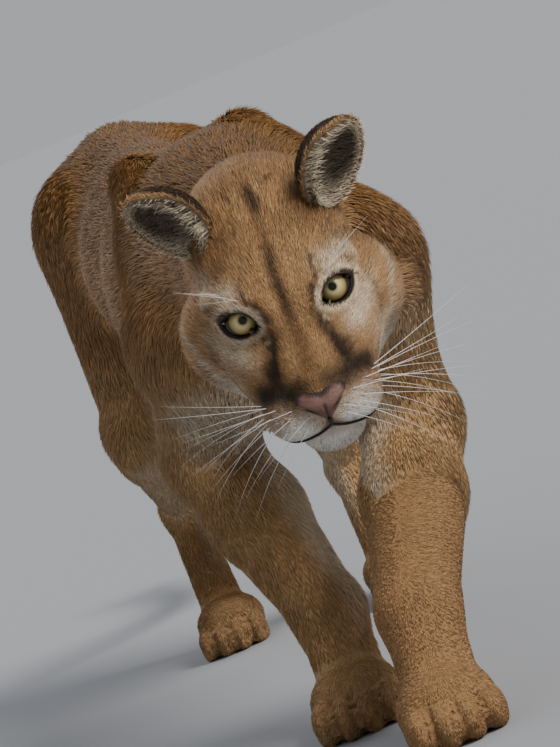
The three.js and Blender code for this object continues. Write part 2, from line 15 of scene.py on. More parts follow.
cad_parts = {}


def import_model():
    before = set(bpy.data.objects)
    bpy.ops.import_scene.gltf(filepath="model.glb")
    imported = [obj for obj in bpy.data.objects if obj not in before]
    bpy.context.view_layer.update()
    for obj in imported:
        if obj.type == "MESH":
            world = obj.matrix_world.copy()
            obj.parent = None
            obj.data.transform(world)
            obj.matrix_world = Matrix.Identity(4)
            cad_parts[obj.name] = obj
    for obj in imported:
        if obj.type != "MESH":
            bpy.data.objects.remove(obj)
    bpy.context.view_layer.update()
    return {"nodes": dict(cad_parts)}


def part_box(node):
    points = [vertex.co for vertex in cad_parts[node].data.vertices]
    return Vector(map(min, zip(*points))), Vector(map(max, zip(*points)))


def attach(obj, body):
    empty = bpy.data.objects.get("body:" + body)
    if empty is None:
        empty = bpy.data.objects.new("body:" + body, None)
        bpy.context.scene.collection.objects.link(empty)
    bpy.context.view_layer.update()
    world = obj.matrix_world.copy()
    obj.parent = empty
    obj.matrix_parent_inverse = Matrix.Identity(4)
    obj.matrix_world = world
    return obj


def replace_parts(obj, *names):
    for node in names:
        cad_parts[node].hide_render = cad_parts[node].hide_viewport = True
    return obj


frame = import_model()
NODES = frame["nodes"]
RNG = np.random.default_rng(11)
MM = 0.001

# Small helpers


def vec(*values):
    return np.array(values, float)


def mirror(point, side):
    return vec(point[0], point[1], point[2] * side)


def smooth(low, high, x):
    t = np.clip((x - low) / (high - low), 0, 1)
    return t * t * (3 - 2 * t)


def colour(code):
    """Linear colour of a hex code."""
    rgb = np.array([int(code[i:i + 2], 16) for i in (0, 2, 4)]) / 255
    return np.where(rgb <= 0.04045, rgb / 12.92, ((rgb + 0.055) / 1.055) ** 2.4)


def unit(vectors):
    return vectors / np.maximum(np.linalg.norm(vectors, axis=1, keepdims=True), 1e-9)


def wander(points, scale, seed):
    """A slow, smooth change from place to place, between -1 and 1."""
    rng = np.random.default_rng(seed)
    total = np.zeros(len(points))
    for _ in range(4):
        wave = rng.normal(size=3)
        total += np.sin(points @ (wave / np.linalg.norm(wave)) / scale + rng.uniform(0, 6.3))
        scale *= 0.62
    return total / 4


def turn_x(angle):
    c, s = math.cos(angle), math.sin(angle)
    return np.array([[1, 0, 0], [0, c, -s], [0, s, c]])


def turn_y(angle):
    c, s = math.cos(angle), math.sin(angle)
    return np.array([[c, 0, s], [0, 1, 0], [-s, 0, c]])


def turn_z(angle):
    c, s = math.cos(angle), math.sin(angle)
    return np.array([[c, -s, 0], [s, c, 0], [0, 0, 1]])


# Frames of the head and the body
HEAD_PITCH = math.radians(33)
HEAD_ROLL = math.radians(2.5)
HEAD_YAW = math.radians(-3.5)
TRUNK_YAW = math.radians(7.5)
EYE_HEIGHT = 380
WITHERS = vec(-18, 300, 0)
HEAD_TURN = np.array(
    Matrix.Rotation(HEAD_YAW, 3, "Z")
    @ Matrix.Rotation(HEAD_PITCH, 3, "X")
    @ Matrix.Rotation(HEAD_ROLL, 3, "Y")
)
FORWARD, UPWARD, LEFTWARD = (HEAD_TURN @ vec(*axis) for axis in ((0, -1, 0), (0, 0, 1), (1, 0, 0)))
HEAD_AXES = np.array([FORWARD, UPWARD, LEFTWARD])
EYES_MIDDLE = vec(0, 0, EYE_HEIGHT)
TRUNK_BACK = vec(-math.sin(TRUNK_YAW), math.cos(TRUNK_YAW), 0)
TRUNK_LEFT = vec(math.cos(TRUNK_YAW), math.sin(TRUNK_YAW), 0)
EYE = {"place": (-12.0, 0.0, 40.0), "radius": 18.0, "lid": 2.4, "pocket": 3.5}


def trunk_point(behind, left, height):
    return vec(WITHERS[0], WITHERS[1], height) + behind * TRUNK_BACK + left * TRUNK_LEFT


def head_point(point):
    return EYES_MIDDLE + np.asarray(point, float) @ HEAD_AXES


def to_head(points):
    """Forward, up and left of the head, from the middle between the eyes."""
    return (points - EYES_MIDDLE) @ HEAD_AXES.T


def middle_of(node):
    low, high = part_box(node)
    return np.array((low + high) / 2)


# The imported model's origin is on the floor under its outline, the forms' origin is under the eyes.
SHIFT = (middle_of("eye_left") + middle_of("eye_right")) / 2 / MM - head_point((EYE["place"][0], 0, 0))


def world(points):
    return (np.asarray(points, float) + SHIFT) * MM


# Forms of the flesh: cones and lobes, blended in the order in which they are added
FORMS = []
FAR = 1e3
BLEND_MARGIN = 50  # a form that is farther off than its own reach and this is left out
WAY_SPREAD = 9


def cone(group, a, radius_a, b, radius_b, blend, press=1.0):
    a, b = np.asarray(a, float), np.asarray(b, float)
    FORMS.append({
        "kind": "cone", "group": group, "a": a, "b": b, "ra": radius_a, "rb": radius_b, "blend": blend,
        "press": press, "mid": (a + b) / 2, "reach": np.linalg.norm(b - a) / 2 + max(radius_a, radius_b),
        "way": (b - a) / max(np.linalg.norm(b - a), 1e-6),
    })


def lobe(group, centre, radii, blend, axes, way):
    FORMS.append({
        "kind": "lobe", "group": group, "mid": np.asarray(centre, float), "radii": vec(*radii),
        "blend": blend, "axes": axes, "reach": max(radii), "way": way,
    })


def form_distance(points, form):
    """How far points lie outside one form, which a press below 1 makes narrower across the trunk."""
    if form["kind"] == "lobe":
        share = (points - form["mid"]) @ form["axes"].T / form["radii"]
        inner = np.sqrt((share**2).sum(1))
        slope = np.sqrt(((share / form["radii"]) ** 2).sum(1))
        return np.where(slope < 1e-6, -form["radii"].min(), inner * (inner - 1) / np.maximum(slope, 1e-9))
    offset = points - form["a"]
    line = form["b"] - form["a"]
    press = form["press"]
    if press != 1.0:
        offset = offset + np.outer(offset @ TRUNK_LEFT * (1 / press - 1), TRUNK_LEFT)
        line = line + TRUNK_LEFT * (line @ TRUNK_LEFT) * (1 / press - 1)
    share = np.clip(offset @ line / max(line @ line, 1e-6), 0, 1)
    offset = offset - share[:, None] * line
    away = np.maximum(np.linalg.norm(offset, axis=1), 1e-6)
    gap = away - (form["ra"] + (form["rb"] - form["ra"]) * share)
    if press == 1.0:
        return gap
    across = offset @ TRUNK_LEFT / away
    return gap / np.sqrt(1 + (1 / press**2 - 1) * across**2)


def flesh_distance(points):
    """How far points lie outside the blended flesh, below 0 inside it."""
    least = np.full(len(points), FAR)
    for form in FORMS:
        near = np.nonzero(((points - form["mid"]) ** 2).sum(1) < (form["reach"] + BLEND_MARGIN) ** 2)[0]
        if len(near):
            d = form_distance(points[near], form)
            old = least[near]
            close = np.maximum(form["blend"] - np.abs(old - d), 0) / form["blend"]
            least[near] = np.minimum(old, d) - close**2 * form["blend"] / 4
    return least


def flesh_slope(points, step=0.5):
    """The distance from the flesh and the direction that leads straight away from it."""
    here = flesh_distance(points)
    slope = np.stack([flesh_distance(points + step * axis) - here for axis in np.eye(3)], axis=1) / step
    return here, slope / np.maximum(np.linalg.norm(slope, axis=1, keepdims=True), 1e-6)


def body_groups(points):
    """How near each group of forms is, and which way the coat of the nearest forms lies."""
    near = {}
    way = np.zeros((len(points), 3))
    total = np.full(len(points), 1e-9)
    for form in FORMS:
        d = form_distance(points, form)
        group = form["group"]
        near[group] = np.minimum(near[group], d) if group in near else d
        weight = np.exp(-np.clip(d, -20, 400) / WAY_SPREAD)
        way += weight[:, None] * form["way"]
        total += weight
    return near, way / total[:, None]


TRUNK_BLEND = 36
UPPER_BLEND = 34
LOWER_BLEND = 16
TAIL_BLENDS = (10, 1)  # at the root and along the rest
PAW_BLENDS = (12, 5)  # of the pad and of the toes
HEAD_BLENDS = (22, 9)


def add_trunk():
    """Chest, loin and rump, the back's ridge, the tuck of the belly and the neck."""
    rows = (
        ("trunk", trunk_point(-55, 0, 398), 116, trunk_point(200, 0, 400), 126, 0.8),
        ("trunk", trunk_point(200, 0, 400), 126, trunk_point(430, 0, 424), 102, 0.88),
        ("trunk", trunk_point(430, 0, 424), 102, trunk_point(620, 0, 462), 98, 0.96),
        ("trunk", trunk_point(620, 0, 464), 92, trunk_point(690, 0, 448), 70, 1),
        ("trunk", trunk_point(90, 0, 480), 44, trunk_point(330, 0, 478), 42, 1),
        ("trunk", trunk_point(330, 0, 478), 42, trunk_point(600, 0, 522), 46, 1),
        ("trunk", trunk_point(380, 0, 348), 42, trunk_point(540, 0, 366), 32, 1),
        ("neck", vec(0, 98, 410), 76, vec(-14, 270, 433), 104, 1),
        ("neck", vec(0, 150, 452), 42, vec(-18, 300, 489), 48, 1),
        ("neck", vec(0, 82, 366), 54, vec(-10, 215, 350), 78, 1),
    )
    for group, a, radius_a, b, radius_b, press in rows:
        cone(group, a, radius_a, b, radius_b, TRUNK_BLEND, press)


def add_brisket():
    """The keel of the chest between the forelegs."""
    cone("trunk", trunk_point(-62, 0, 310), 57, trunk_point(226, 0, 332), 57, TRUNK_BLEND)


FORE = {
    "right": {
        "blade": vec(-80, 338, 508), "shoulder": vec(-96, 228, 373), "elbow": vec(-116, 366, 262),
        "wrist": vec(-72, 256, 100), "knuckles": vec(-74, 228, 45), "paw": vec(-77, 200, 27), "toe_out": -6,
    },
    "left": {
        "blade": vec(28, 322, 508), "shoulder": vec(80, 174, 383), "elbow": vec(62, 212, 232),
        "wrist": vec(2, 48, 101), "knuckles": vec(-5, 14, 45), "paw": vec(-8, -14, 27), "toe_out": 4,
    },
}
HIND = {
    "right": {
        "hip": trunk_point(590, -64, 462), "seat": trunk_point(676, -52, 432), "knee": vec(-188, 806, 266),
        "calf": vec(-187, 898, 242), "hock": vec(-185, 1008, 154), "heel": vec(-185, 1026, 168),
        "knuckles": vec(-183, 972, 40), "paw": vec(-181, 944, 27), "toe_out": -5,
    },
    "left": {
        "hip": trunk_point(590, 64, 460), "seat": trunk_point(676, 52, 430), "knee": vec(-10, 770, 284),
        "calf": vec(-5, 838, 244), "hock": vec(0, 906, 137), "heel": vec(0, 925, 151),
        "knuckles": vec(4, 852, 40), "paw": vec(6, 822, 27), "toe_out": 5,
    },
}


def add_foreleg(leg):
    forearm = leg["elbow"] + 0.4 * (leg["wrist"] - leg["elbow"])
    blade_low = leg["blade"] + 0.3 * (leg["elbow"] - leg["blade"])
    cone("shoulder", leg["blade"], 40, leg["shoulder"], 58, UPPER_BLEND, 0.8)
    cone("shoulder", blade_low, 46, leg["elbow"], 45, UPPER_BLEND, 0.85)
    cone("shoulder", leg["shoulder"], 58, leg["elbow"], 45, UPPER_BLEND, 0.88)
    cone("foreleg", leg["elbow"], 48, forearm, 48, LOWER_BLEND)
    cone("foreleg", forearm, 48, leg["wrist"], 36, LOWER_BLEND)
    cone("foreleg", leg["wrist"], 36, leg["knuckles"], 34, LOWER_BLEND)


def add_hindleg(leg):
    cone("thigh", leg["hip"], 84, leg["knee"], 47, UPPER_BLEND, 0.72)
    cone("thigh", leg["seat"], 66, leg["calf"], 43, UPPER_BLEND, 0.8)
    cone("hindleg", leg["knee"], 47, leg["calf"], 43, LOWER_BLEND, 0.85)
    cone("hindleg", leg["calf"], 43, leg["hock"], 23, LOWER_BLEND, 0.9)
    cone("hindleg", leg["hock"], 23, leg["heel"], 15, LOWER_BLEND)
    cone("hindleg", leg["hock"], 23, leg["knuckles"], 27, LOWER_BLEND)


FORE_PAW = {"pad": (46, 44, 36), "toe": (31, 13.5, 21), "reach": 25, "spread": 21}
HIND_PAW = {"pad": (43, 39, 32), "toe": (28, 12, 19), "reach": 24, "spread": 18.5}
TOES = (-1.5, -0.5, 0.5, 1.5)
TOE_ARC = 8
TOE_SINK = 3


def paw_axes(leg):
    angle = math.radians(leg["toe_out"])
    return np.array([
        [math.sin(angle), -math.cos(angle), 0], [math.cos(angle), math.sin(angle), 0], [0, 0, 1],
    ])


def add_paw(leg, paw):
    axes = paw_axes(leg)
    way = axes[0] * 0.8 - vec(0, 0, 0.6)
    lobe("paw", leg["paw"], paw["pad"], PAW_BLENDS[0], axes, way)
    for place in TOES:
        ahead = paw["reach"] + TOE_ARC * (2 - abs(place))
        centre = leg["paw"] + ahead * axes[0] + place * paw["spread"] * axes[1]
        centre[2] = paw["toe"][2] - TOE_SINK
        lobe("paw", centre, paw["toe"], PAW_BLENDS[1], axes, way)


def head_lobe(centre, radii, blend):
    lobe("head", head_point(centre), radii, blend, HEAD_AXES, vec(0, 0, 0))


def head_cone(a, radius_a, b, radius_b, blend):
    cone("head", head_point(a), radius_a, head_point(b), radius_b, blend)
    FORMS[-1]["way"] = vec(0, 0, 0)


def add_head():
    """Skull, brow, cheeks, bridge of the nose, pads, chin and the balls of the eyes."""
    soft, firm = HEAD_BLENDS
    head_lobe((-72, 8, 0), (72, 52, 66), soft)
    head_lobe((-104, 16, 0), (62, 68, 70), soft)
    head_lobe((-34, 8, 0), (44, 40, 66), soft)
    head_lobe((-14, -46, 0), (64, 42, 70), soft)
    head_cone((-8, 0, 0), 26, (56, -42, 0), 21, soft)
    head_lobe((34, -56, 0), (45, 32, 50), soft)
    for side in (1, -1):
        head_cone(mirror((2, 3, 13), side), 10, mirror((58, -36, 12), side), 10, firm)
        head_cone(mirror((4, 17, 20), side), 11, mirror((-20, 19, 56), side), 12, soft)
        head_cone(mirror((14, -32, 34), side), 18, mirror((-46, -16, 62), side), 24, soft)
        head_lobe(mirror((-50, -42, 60), side), (38, 46, 37), soft)
        head_cone(mirror((40, -84, 14), side), 15, mirror((-46, -74, 44), side), 28, soft)
        head_lobe(mirror((52, -58, 24), side), (30, 22, 28), firm)
        eyeball = EYE["radius"] + EYE["lid"]
        head_lobe(mirror(EYE["place"], side), (eyeball,) * 3, firm)
    head_lobe((48, -87, 0), (24, 22, 27), firm)
    head_lobe((64, -40, 0), (14, 15, 20), firm)


TAIL_POINTS = [
    trunk_point(672, 0, 474), vec(-118, 1040, 450), vec(-134, 1112, 380), vec(-147, 1170, 288),
    vec(-158, 1232, 194), vec(-168, 1312, 122), vec(-175, 1402, 88), vec(-178, 1492, 96),
    vec(-175, 1566, 142),
]
TAIL_RADII = (40, 25, 23)
TAIL_SWELL = 0.25  # the share of the tail over which its root thins
TAIL_STEPS = 16
CURVE_STEPS = 24


def smooth_line(points, count):
    """Evenly spaced points of a centripetal Catmull-Rom curve through the points."""
    pts = [2 * points[0] - points[1], *points, 2 * points[-1] - points[-2]]
    fine = []
    for p0, p1, p2, p3 in zip(pts, pts[1:], pts[2:], pts[3:]):
        d0, d1, d2 = (max(np.linalg.norm(b - a), 1e-4) ** 0.5 for a, b in ((p0, p1), (p1, p2), (p2, p3)))
        t1 = ((p1 - p0) / d0 - (p2 - p0) / (d0 + d1) + (p2 - p1) / d1) * d1
        t2 = ((p2 - p1) / d1 - (p3 - p1) / (d1 + d2) + (p3 - p2) / d2) * d1
        for t in np.linspace(0, 1, CURVE_STEPS + 1)[:-1]:
            square, cube = 3 * (p2 - p1) - 2 * t1 - t2, 2 * (p1 - p2) + t1 + t2
            fine.append(p1 + t * t1 + square * t**2 + cube * t**3)
    fine = np.array([*fine, points[-1]])
    run = np.concatenate([[0], np.cumsum(np.linalg.norm(np.diff(fine, axis=0), axis=1))])
    at = np.linspace(0, run[-1], count)
    return np.stack([np.interp(at, run, fine[:, k]) for k in range(3)], axis=1)


TAIL_LINE = smooth_line(TAIL_POINTS, TAIL_STEPS + 1)


def tail_radius(share):
    root, middle, tip = TAIL_RADII
    if share < TAIL_SWELL:
        return root + (middle - root) * share / TAIL_SWELL
    return middle + (tip - middle) * share


def add_tail():
    for i in range(TAIL_STEPS):
        radii = tail_radius(i / TAIL_STEPS), tail_radius((i + 1) / TAIL_STEPS)
        cone("tail", TAIL_LINE[i], radii[0], TAIL_LINE[i + 1], radii[1], TAIL_BLENDS[1 if i else 0])


add_trunk()
for each_leg in FORE.values():
    add_foreleg(each_leg)
for each_leg in HIND.values():
    add_hindleg(each_leg)
add_tail()
for each_leg in FORE.values():
    add_paw(each_leg, FORE_PAW)
for each_leg in HIND.values():
    add_paw(each_leg, HIND_PAW)
add_head()
add_brisket()



# The eyes' openings, which the skin, the lids and the coat share
GAZE_UP, GAZE_OUT, GAZE_TILT = (math.radians(angle) for angle in (26, 10, 14))
ALMOND = {"half_width": 16.6, "half_height": 10.8}


def eye_frame(side):
    """Axis out of the eye, its lift and its width, as rows in the head's frame."""
    return (turn_y(-GAZE_OUT * side) @ turn_z(GAZE_UP) @ turn_x(-GAZE_TILT * side)).T


def almond(across, lift):
    """How far out a place is in the opening between the lids, whose edge is at 1."""
    half_width, half_height = ALMOND["half_width"], ALMOND["half_height"]
    radius = (half_width**2 / half_height + half_height) / 2
    shift = radius - half_height
    return np.sqrt(across**2 + (np.abs(lift) + shift) ** 2) / radius


def new_object(name, mesh, finish):
    piece = bpy.data.objects.new(name, mesh)
    bpy.context.scene.collection.objects.link(piece)
    mesh.materials.append(finish)
    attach(piece, "root")
    return piece


def mesh_from_bmesh(name, bm, smooth_shading=True):
    mesh = bpy.data.meshes.new(name)
    bm.to_mesh(mesh)
    bm.free()
    if smooth_shading:
        mesh.polygons.foreach_set("use_smooth", [True] * len(mesh.polygons))
    return mesh


def get_vertices(mesh):
    flat = np.empty(len(mesh.vertices) * 3, np.float32)
    mesh.vertices.foreach_get("co", flat)
    return flat.reshape(-1, 3).astype(float)


def set_vertices(mesh, points):
    mesh.vertices.foreach_set("co", np.ascontiguousarray(points, np.float32).ravel())
    mesh.update()


def set_colours(mesh, name, rgb):
    layer = mesh.color_attributes.new(name, "FLOAT_COLOR", "POINT")
    rgba = np.ones((len(rgb), 4), np.float32)
    rgba[:, :3] = rgb
    layer.data.foreach_set("color", rgba.ravel())


# Skin
FLESH_NODES = [n for n in NODES if not n.startswith(("eye_", "ear_")) and n != "nose"]
SWELL = 1.2 * MM
VOXEL = 6.0 * MM
WELD = 0.01 * MM


def joined_flesh():
    """One closed mesh over all the flesh nodes, swollen enough to close the gaps between them."""
    bm = bmesh.new()
    for name in FLESH_NODES:
        part = bmesh.new()
        part.from_mesh(NODES[name].data)
        bmesh.ops.remove_doubles(part, verts=part.verts, dist=WELD)
        part.normal_update()
        for v in part.verts:
            v.co += v.normal * SWELL
        copy = bpy.data.meshes.new("part")
        part.to_mesh(copy)
        part.free()
        bm.from_mesh(copy)
        bpy.data.meshes.remove(copy)
    holder = bpy.data.objects.new("remesh", mesh_from_bmesh("skin", bm, False))
    bpy.context.scene.collection.objects.link(holder)
    modifier = holder.modifiers.new("remesh", "REMESH")
    modifier.mode = "VOXEL"
    modifier.voxel_size = VOXEL
    done = bpy.data.meshes.new_from_object(holder.evaluated_get(bpy.context.evaluated_depsgraph_get()))
    bpy.data.objects.remove(holder)
    return done


# How deep the skin lies under the coat's surface, in millimetres.
COAT_DEPTH = {
    "head": 4.5, "neck": 8.0, "trunk": 7.0, "shoulder": 6.0, "foreleg": 4.5, "thigh": 6.5, "hindleg": 4.0,
    "tail": 6.0, "paw": 2.5,
}


def group_mix(near, table, spread=8.0):
    """A property of the body's groups, mixed smoothly where they meet."""
    total = np.zeros(len(next(iter(near.values()))))
    weight_sum = np.full(len(total), 1e-12)
    for group, value in table.items():
        weight = np.exp(-np.clip(near[group], -15, 300) / spread)
        total += weight * value
        weight_sum += weight
    return total / weight_sum


def face_depth(h):
    """How much thinner the coat is over the muzzle and round the eyes than over the crown."""
    f, u, l = h[:, 0], h[:, 1], np.abs(h[:, 2])
    face = smooth(-45, 20, f - 0.35 * np.maximum(l - 40, 0))
    eye = np.exp(-(((f - EYE["place"][0]) / 24) ** 2 + (u / 20) ** 2 + ((l - 40) / 24) ** 2))
    return 1 - 0.62 * np.maximum(face, eye)


def skin_depth(points, near):
    in_head = smooth(12, -4, near["head"] - np.minimum(near["neck"], near["trunk"]))
    depth = group_mix(near, COAT_DEPTH) * (1 - in_head * (1 - face_depth(to_head(points))))
    return depth * smooth(3, 14, points[:, 2])


PRESS_STEP = 12
SOLE_HEIGHT = 0.4


def press_on(points, rounds):
    """Move points onto the flesh, as far inside it as the coat is deep, and keep them off the floor."""
    near, _ = body_groups(points)
    depth = skin_depth(points, near)
    for _ in range(rounds):
        gap, slope = flesh_slope(points)
        points = points - slope * np.clip(gap + depth, -PRESS_STEP, PRESS_STEP)[:, None]
        points[:, 2] = np.maximum(points[:, 2], SOLE_HEIGHT)
    return points


# Directions of the mouth's line and of the cleft above it, from the muzzle's core.
MOUTH = [(-4, -17, 48), (14, -16, 45), (30, -13, 35), (42, -11, 22), (48, -9, 11), (51, -2, 0)]
CLEFT = [(46, 6, 0), (50, 1, 0), (51, -2, 0)]
MUZZLE_CORE = vec(30, -60, 0)


def reach_surface(core, aims, start, rounds):
    """Where lines that leave a core along unit vectors come out of the flesh, in the head's frame."""
    reach = np.full(len(aims), start)
    for _ in range(rounds):
        gap = flesh_distance(head_point(core + aims * reach[:, None]))
        reach -= np.clip(gap, -4, 4) * 0.8
    return core + aims * reach[:, None]


def surface_line(directions, count):
    """A curve on the flesh's surface, seen from the muzzle's core along each direction."""
    line = smooth_line([MUZZLE_CORE + vec(*d) for d in directions], count)
    return reach_surface(MUZZLE_CORE, unit(line - MUZZLE_CORE), 20.0, 40)


def line_distance(points, line):
    best = np.full(len(points), FAR)
    for a, b in zip(line[:-1], line[1:]):
        run = b - a
        share = np.clip((points - a) @ run / max(run @ run, 1e-9), 0, 1)
        best = np.minimum(best, np.linalg.norm(points - a - share[:, None] * run, axis=1))
    return best


MOUTH_LINE = surface_line(MOUTH, 28)
CLEFT_LINE = surface_line(CLEFT, 8)


def fold(h):
    """Both halves of the head laid on its left one."""
    return np.stack([h[:, 0], h[:, 1], np.abs(h[:, 2])], axis=1)


def mouth_distance(h):
    return line_distance(fold(h), MOUTH_LINE)


def above_mouth(h):
    """Where a place lies over the line of the mouth and not under it."""
    line = MOUTH_LINE[np.argsort(MOUTH_LINE[:, 2])]
    return h[:, 1] > np.interp(np.abs(h[:, 2]), line[:, 2], line[:, 1])


def cleft_distance(h):
    return line_distance(h, CLEFT_LINE)


MOUTH_GROOVE = {"depth": 4.6, "half_width": 2.6}
CLEFT_GROOVE = {"depth": 2.6, "half_width": 2.0}
PAD_EDGE = {"height": 2.6, "over_mouth": 8, "half_width": 5.5}
CHIN_SWELL = {"height": 5.0, "place": (64, -86, 0), "reach": (20, 12, 34)}
PAD_HOLLOW = {"depth": 4.5, "place": (52, -80, 40), "reach": (24, 12, 15)}


def blob(h, centre, radii):
    return np.exp(-(((h - vec(*centre)) / vec(*radii)) ** 2).sum(1))


def face_sink(face):
    """How far in the skin goes at the mouth, at the cleft and round the chin."""
    mouth = mouth_distance(face)
    groove = MOUTH_GROOVE["depth"] * np.exp(-((mouth / MOUTH_GROOVE["half_width"]) ** 2))
    cleft = CLEFT_GROOVE["depth"] * np.exp(-((cleft_distance(face) / CLEFT_GROOVE["half_width"]) ** 2))
    over = (mouth - PAD_EDGE["over_mouth"]) / PAD_EDGE["half_width"]
    edge = np.where(above_mouth(face) & (face[:, 0] > 30), PAD_EDGE["height"] * np.exp(-(over**2)), 0)
    chin = CHIN_SWELL["height"] * blob(face, CHIN_SWELL["place"], CHIN_SWELL["reach"])
    hollow = sum(blob(face, mirror(PAD_HOLLOW["place"], side), PAD_HOLLOW["reach"]) for side in (1, -1))
    return groove + cleft - edge - chin + PAD_HOLLOW["depth"] * hollow


def carve_face(points):
    """Mouth line, cleft and the relief round them, and the eyes' pockets."""
    h = to_head(points)
    near = np.nonzero((h[:, 0] > -70) & (np.abs(h[:, 2]) < 80) & (h[:, 1] > -130) & (h[:, 1] < 70))[0]
    _, slope = flesh_slope(points[near])
    face = h[near] - (slope @ HEAD_AXES.T) * face_sink(h[near])[:, None]
    pocket = EYE["radius"] - EYE["pocket"]
    for side in (1, -1):
        axes = eye_frame(side)
        local = (face - mirror(EYE["place"], side)) @ axes.T
        inside = (almond(local[:, 2], local[:, 1]) < 1.0) & (local[:, 0] > 0)
        floor = np.sqrt(np.maximum(pocket**2 - local[:, 1] ** 2 - local[:, 2] ** 2, 1.0))
        local[inside, 0] = np.minimum(local[inside, 0], floor[inside])
        face = np.where(inside[:, None], local @ axes + mirror(EYE["place"], side), face)
    h[near] = face
    return head_point(h)


def in_head_zone(h):
    return (h[:, 0] > -150) & (np.linalg.norm(h - vec(-40, -20, 0), axis=1) < 135)


def in_face_zone(h):
    near_eye = np.zeros(len(h), bool)
    for side in (1, -1):
        near_eye |= np.linalg.norm(h - mirror(EYE["place"], side), axis=1) < 34
    muzzle = (h[:, 0] > 18) & (np.linalg.norm(h - vec(45, -60, 0), axis=1) < 62)
    return near_eye | muzzle


def build_skin():
    """The skin's mesh, finer on the head and finest on the face, and its points before the carving."""
    mesh = joined_flesh()
    set_vertices(mesh, press_on(get_vertices(mesh) / MM - SHIFT, 2))
    bm = bmesh.new()
    bm.from_mesh(mesh)
    for zone in (in_head_zone, in_face_zone):
        chosen = zone(to_head(np.array([f.calc_center_median() for f in bm.faces])))
        edges = {e for f, pick in zip(bm.faces, chosen) if pick for e in f.edges}
        bmesh.ops.subdivide_edges(bm, edges=list(edges), cuts=1, use_grid_fill=True)
    bmesh.ops.triangulate(bm, faces=[f for f in bm.faces if len(f.verts) > 4])
    bm.to_mesh(mesh)
    bm.free()
    bare = press_on(get_vertices(mesh), 3)
    set_vertices(mesh, world(carve_face(bare)))
    mesh.polygons.foreach_set("use_smooth", [True] * len(mesh.polygons))
    return mesh, bare


# Colours and markings
TAWNY = colour("a27c54")
BACK = colour("7c5628")
SAND = colour("c39e70")
PALE = colour("e3d3b8")
WHITE = colour("f1e9dc")
DARK = colour("241a13")
BROWN = colour("54391f")


def blend(rgb, tone, weight):
    weight = np.clip(weight, 0, 1)[:, None]
    return rgb * (1 - weight) + tone * weight


WHISKER_ROWS = 4
WHISKERS_IN_ROW = 5


def whisker_roots():
    """Where the whiskers stand on the left pad, in rows from the nose back."""
    core = vec(45, -56, 10)
    order = [(row, k) for row in range(WHISKER_ROWS) for k in range(WHISKERS_IN_ROW)]
    aims = [vec(74 - 7.5 * k - 2.2 * row, -44 - 6.2 * row - 0.8 * k, 15 + 9.5 * k) for row, k in order]
    spots = reach_surface(core, unit(np.array(aims) - core), 25.0, 30)
    return [(row, k, spot) for (row, k), spot in zip(order, spots)]


WHISKER_ROOTS = whisker_roots()

# Markings of the face, and a brown band of painted shade under the chin. Each row is a tone, its strength,
# its middle and its reach, in the head's frame and the same on both sides.
FACE_TONES = (
    (SAND, 0.5, (-40, -40, 85), (40, 40, 30)),
    (SAND, 0.45, (-18, 44, 26), (26, 22, 12)),
    (BROWN, 0.35, (-44, 52, 34), (22, 18, 14)),
    (BROWN, 0.5, (56, -16, 0), (26, 16, 8)),
    (SAND, 0.45, (46, -14, 11), (24, 12, 5)),
    (PALE, 0.75, (-4, 31, 47), (14, 8, 13)),
    (PALE, 0.55, (-24, 26, 64), (18, 12, 10)),
    (PALE, 0.8, (18, -15, 53), (18, 9, 14)),
    (PALE, 0.75, (2, -12, 66), (20, 12, 12)),
    (PALE, 0.6, (8, -52, 66), (26, 18, 16)),
    (WHITE, 1.2, (-30, -86, 40), (46, 22, 44)),
    (WHITE, 1.7, (70, -62, 24), (22, 15, 17)),
    (WHITE, 1.5, (58, -90, 0), (34, 15, 32)),
    # Painted shade under the chin
    (BROWN, 1.0, (40, -112, 0), (26, 7, 34)),
    (BROWN, 0.4, (30, -4, 0), (40, 18, 15)),
    (DARK, 0.8, (68, -27, 12), (12, 6, 9)),
)
# Strokes of the face, on both sides too. Each row is a tone, its strength, its half width and its points.
FACE_STROKES = (
    (DARK, 0.6, 8.0, ((24, 2, 22), (34, -10, 26), (48, -24, 31))),
    (DARK, 0.92, 10.5, ((44, -41, 45), (52, -34, 39), (58, -30, 31), (66, -31, 23))),
    (DARK, 0.6, 8.0, ((50, -40, 40), (60, -35, 30))),
    (DARK, 0.8, 7.0, ((38, -22, 32), (50, -28, 34))),
    # Painted shade in two folds across the crown, and a painted highlight on the ridge beside them
    (BROWN, 0.8, 2.8, ((-98, 68, 46), (-84, 69, 38), (-70, 71, 24))),
    (BROWN, 0.75, 2.6, ((-84, 69, 24), (-72, 71, 15), (-63, 69, 12))),
    (SAND, 0.5, 2.6, ((-92, 66, 51), (-76, 66, 43), (-62, 66, 30))),
    (DARK, 0.85, 4.2, ((14, 26, 25), (20, 19, 21.5), (24, 6, 21), (33, -10, 25), (46, -24, 30))),
    (DARK, 0.85, 2.6, ((4, 0, 27), (14, -3, 26), (26, -8, 26))),
    (DARK, 0.75, 2.4, ((-12, 41, 30), (0, 33, 31), (11, 27, 30))),
    (DARK, 0.5, 1.8, ((-6, 41, 38), (4, 30, 36))),
    (DARK, 0.6, 1.8, ((-9, 23, 58), (-14, 17, 66), (-22, 10, 74))),
    (BROWN, 0.5, 3.0, ((-14, -16, 72), (-6, -32, 72), (16, -46, 62), (36, -52, 52))),
    (WHITE, 0.7, 4.5, (
        (-52, 6, 93), (-36, -16, 92), (-21, -32, 87), (-11, -56, 74), (-6, -73, 63), (14, -80, 52),
    )),
    (PALE, 0.6, 2.2, ((16, 20, 25.5), (19, 8, 24.5), (24, -5, 28))),
)
MIDLINE = ((-74, 70, 1), (-52, 64, 2), (-25, 53, 1), (0, 39, -1), (28, 7, -1), (44, -8, 0))
CROWN_SPOT = ((-60, 66, 2), (9, 9, 6.5))
EDGE_NOISE = {"size": 2.6, "scale": 4.5, "seeds": (21, 22, 23)}  # how far the markings' edges stray


def stroke(h, points, half_width):
    return np.exp(-((line_distance(h, np.array(points, float)) / half_width) ** 2))


